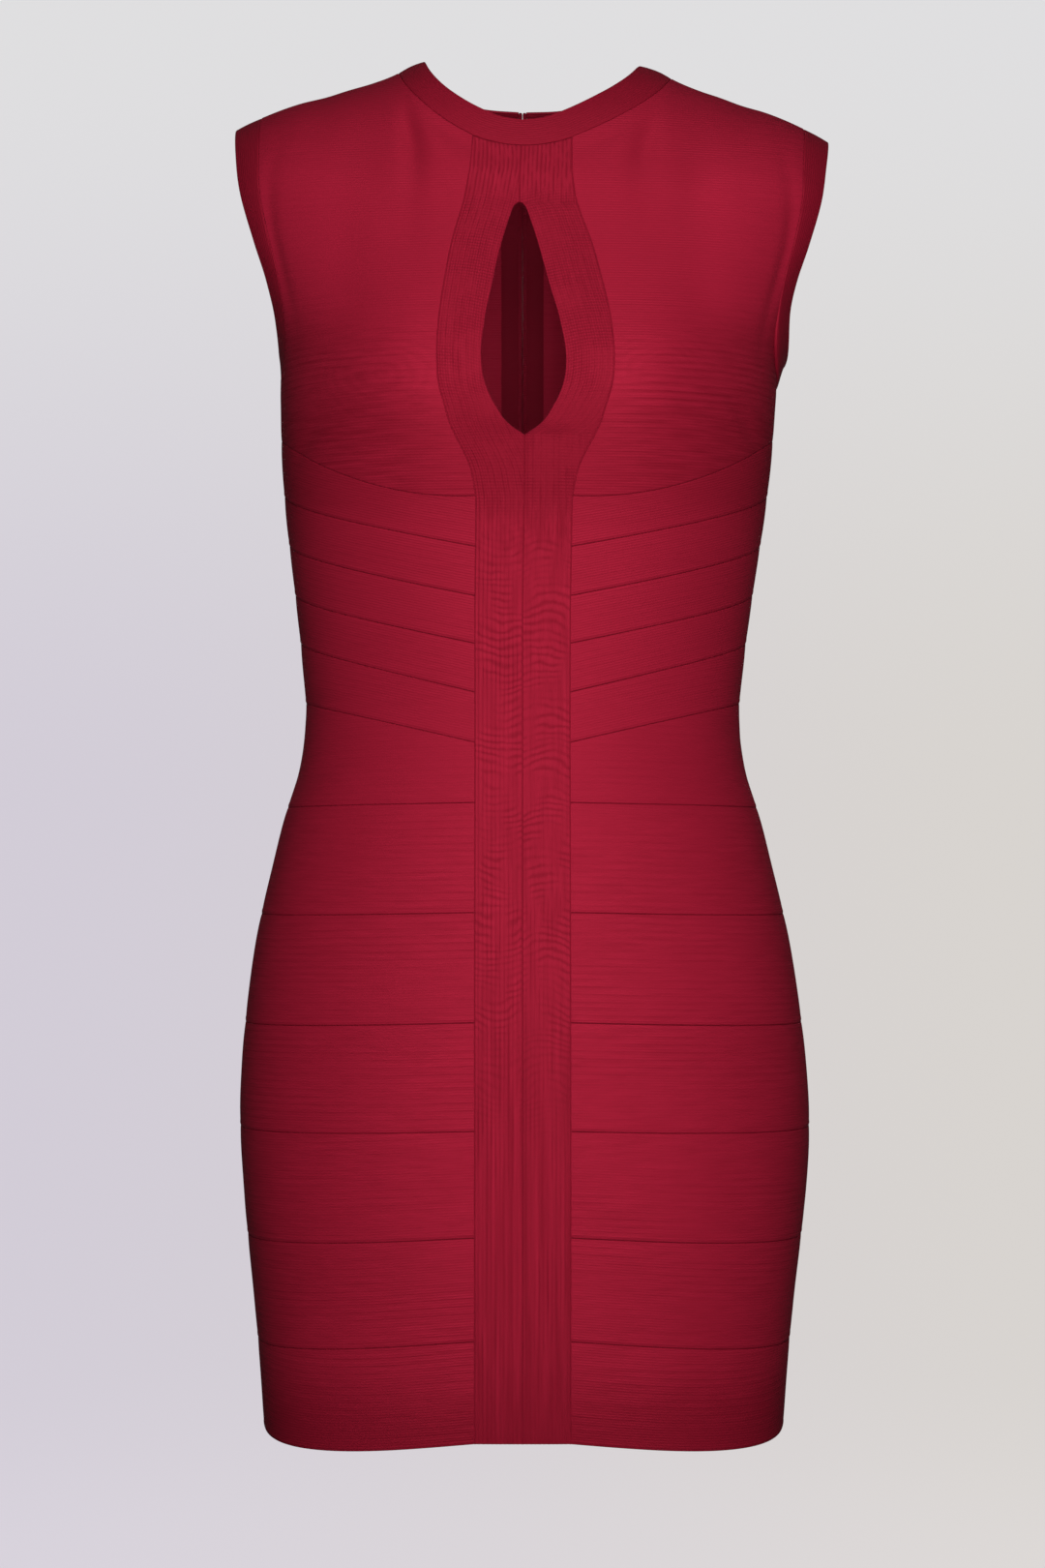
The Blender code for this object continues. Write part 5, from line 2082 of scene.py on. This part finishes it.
@dataclass
class Studio:
    """A pale seamless backdrop and an even air about the dress, and the camera, in metres."""

    floor: float = -1.38
    wall: float = 4.6
    bend: float = 2.0
    top: float = 4.5
    bend_steps: int = 33
    columns: int = 128
    air: Colour = (0.95, 0.95, 1.0)
    air_strength: float = 0.06
    camera_height: float = -0.399
    camera_distance: float = 1.75
    lens: float = 68.2
    sensor: float = 36.0
    near_clip: float = 0.05

    def backdrop(self, material: bpy.types.Material) -> None:
        """A round cove: a profile of floor, quarter circle and wall, turned about the dress.

        Diffuse light doesn't come off it, so that its painted glow stays off the cloth.

        Args:
            material: the paper's finish.
        """
        turn = np.linspace(0, math.pi / 2, self.bend_steps)
        bend_out = self.wall - self.bend + self.bend * np.sin(turn)
        bend_up = self.floor + self.bend - self.bend * np.cos(turn)
        out = np.concatenate([[0.0], bend_out, [self.wall]])[:, None]
        up = np.concatenate([[self.floor], bend_up, [self.top]])[:, None]
        around = np.linspace(0, 2 * math.pi, self.columns, endpoint=False)[None, :]
        points = np.stack(np.broadcast_arrays(out * np.cos(around), out * np.sin(around), up), axis=-1)
        cells = quads(ring_index(len(points), self.columns))[:, ::-1]
        cove = mesh_object("backdrop", points.reshape(-1, 3), cells)
        cove.data.materials.append(material)
        cove.visible_diffuse = cove.visible_glossy = cove.visible_shadow = False

    def light(self) -> None:
        """A softbox in front, one above it and one behind on each side, in an even pale air."""
        for softbox in SOFTBOXES:
            softbox.add()
        world = bpy.data.worlds.new("studio_air")
        world.use_nodes = True
        background = world.node_tree.nodes["Background"]
        background.inputs["Color"].default_value = (*self.air, 1.0)
        background.inputs["Strength"].default_value = self.air_strength
        bpy.context.scene.world = world
        bpy.context.scene.view_settings.view_transform = "Standard"

    def camera(self) -> None:
        """A level camera in front of the dress."""
        data = bpy.data.cameras.new("camera")
        data.sensor_fit = "VERTICAL"
        data.sensor_width = data.sensor_height = self.sensor
        data.lens = self.lens
        data.dof.use_dof = False
        data.clip_start = self.near_clip
        camera = bpy.data.objects.new("camera", data)
        camera.location = (0.0, -self.camera_distance, self.camera_height)
        camera.rotation_euler = (math.pi / 2, 0.0, 0.0)
        bpy.context.scene.collection.objects.link(camera)
        bpy.context.scene.camera = camera


# ---- the dress -------------------------------------------------------------------------------
# angle, height, lean, half length, half width, depth
CREASES = tuple(Crease(*row) for row in (
    (-18.0, -28.0, -10.0, 22.0, 4.2, 1.9),
    (-13.8, -32.0, -24.0, 24.0, 5.0, -0.9),
    (-9.2, -32.0, -46.0, 16.0, 4.5, 1.0),
    (17.4, -29.0, 11.0, 20.0, 4.0, 1.2),
    (14.2, -31.0, 18.0, 20.0, 4.5, -0.5),
    (9.4, -34.0, 40.0, 14.0, 4.0, 0.5),
    (-24.0, -62.0, -20.0, 40.0, 10.0, 0.7),
    (25.0, -70.0, 24.0, 34.0, 9.0, 0.6),
    (-55.0, -86.0, 16.0, 42.0, 6.0, 1.2),
    (55.0, -90.0, -16.0, 48.0, 6.0, 1.4),
    (-58.0, -205.0, 62.0, 22.0, 6.0, 0.8),
    (57.0, -196.0, -58.0, 26.0, 6.0, 0.7),
    (-72.0, -352.0, 84.0, 26.0, 5.0, 0.7),
    (70.0, -366.0, -80.0, 30.0, 5.0, 0.8),
    (-60.0, -392.0, 76.0, 34.0, 6.0, 0.6),
    (62.0, -404.0, -84.0, 26.0, 6.0, 0.5),
    (-66.0, -560.0, 80.0, 34.0, 9.0, 0.5),
    (71.0, -640.0, -76.0, 30.0, 9.0, 0.5),
    (-152.0, -60.0, 30.0, 44.0, 10.0, 1.0),
    (150.0, -52.0, -34.0, 38.0, 9.0, 1.1),
    (-132.0, -150.0, 48.0, 36.0, 8.0, 0.9),
    (134.0, -160.0, -44.0, 40.0, 8.0, 0.8),
    (-128.0, -352.0, 82.0, 40.0, 6.0, 1.0),
    (127.0, -344.0, -78.0, 34.0, 6.0, 0.9),
    (-150.0, -378.0, 86.0, 30.0, 5.0, 0.8),
    (148.0, -384.0, -88.0, 36.0, 6.0, 0.9),
    (-118.0, -400.0, 76.0, 30.0, 6.0, 0.6),
    (121.0, -410.0, -74.0, 26.0, 6.0, 0.6),
    (-140.0, -655.0, 70.0, 40.0, 10.0, 0.8),
    (138.0, -662.0, -66.0, 36.0, 10.0, 0.7),
))
# Each pair's ends are mixed by random tone, and on the knits also by painted shade in grooves and painted
# light on crests.
CRIMSON = Shade(deep=(0.235, 0.0065, 0.0205), lit=(0.385, 0.0125, 0.0380))
CRIMSON_TRIM = Shade(deep=(0.190, 0.0050, 0.0160), lit=(0.310, 0.0090, 0.0280))
THREAD_RED = Shade(deep=(0.105, 0.0025, 0.0085), lit=(0.190, 0.0055, 0.0165))
THREAD_SOFT = Shade(deep=(0.170, 0.0046, 0.0150), lit=(0.290, 0.0088, 0.0270))
TAPE_RED = Shade(deep=(0.120, 0.0040, 0.0110), lit=(0.230, 0.0080, 0.0220))
ENAMEL_RED = Shade(deep=(0.180, 0.0060, 0.0160), lit=(0.300, 0.0120, 0.0300))


def main() -> None:
    """Builds the dress, its zip and the studio, and reports each piece."""
    logging.basicConfig(level=logging.INFO, format="%(message)s")
    studio = Studio()
    studio.camera()
    cut = Cut(WornForm(creases=CREASES))
    bands = RowKnit("band_knit_crimson", CRIMSON).material()
    bust = BustKnit("bust_knit_crimson", CRIMSON).material()
    ribbed = StripKnit("ribbed_knit_crimson", CRIMSON).material()
    trim = KnitFinish("trim_knit_crimson", CRIMSON_TRIM, roughness=0.5, cloud_tone=0.25).material()
    thread = ThreadFinish("linking_thread", THREAD_RED).material()
    soft_thread = ThreadFinish("strip_thread", THREAD_SOFT).material()
    tape = KnitFinish("zip_tape_weave", TAPE_RED, roughness=0.7, course=0.9, wale=0.9).material()
    coil = ThreadFinish("coil_nylon", TAPE_RED, roughness=0.35, twist_height=0.0).material()
    enamel = EnamelFinish("zip_enamel_crimson", ENAMEL_RED).material()
    CentreStrips(cut).add(ribbed)
    panels = UpperPanels(cut)
    panels.add_bust(bust)
    Bands(cut).add(bands)
    panels.add_yoke(bands)
    Neckband(cut).add(trim)
    ArmholeBands(cut).add(trim)
    SeamThreads(cut).add(thread, soft_thread)
    closure = ZipClosure(cut)
    closure.add_tapes(tape)
    closure.add_coils(coil)
    closure.add_stops(coil)
    closure.add_slider(enamel)
    closure.add_pull(enamel)
    studio.backdrop(StudioFinish("studio_paper").material())
    studio.light()


if __name__ == "__main__":
    main()
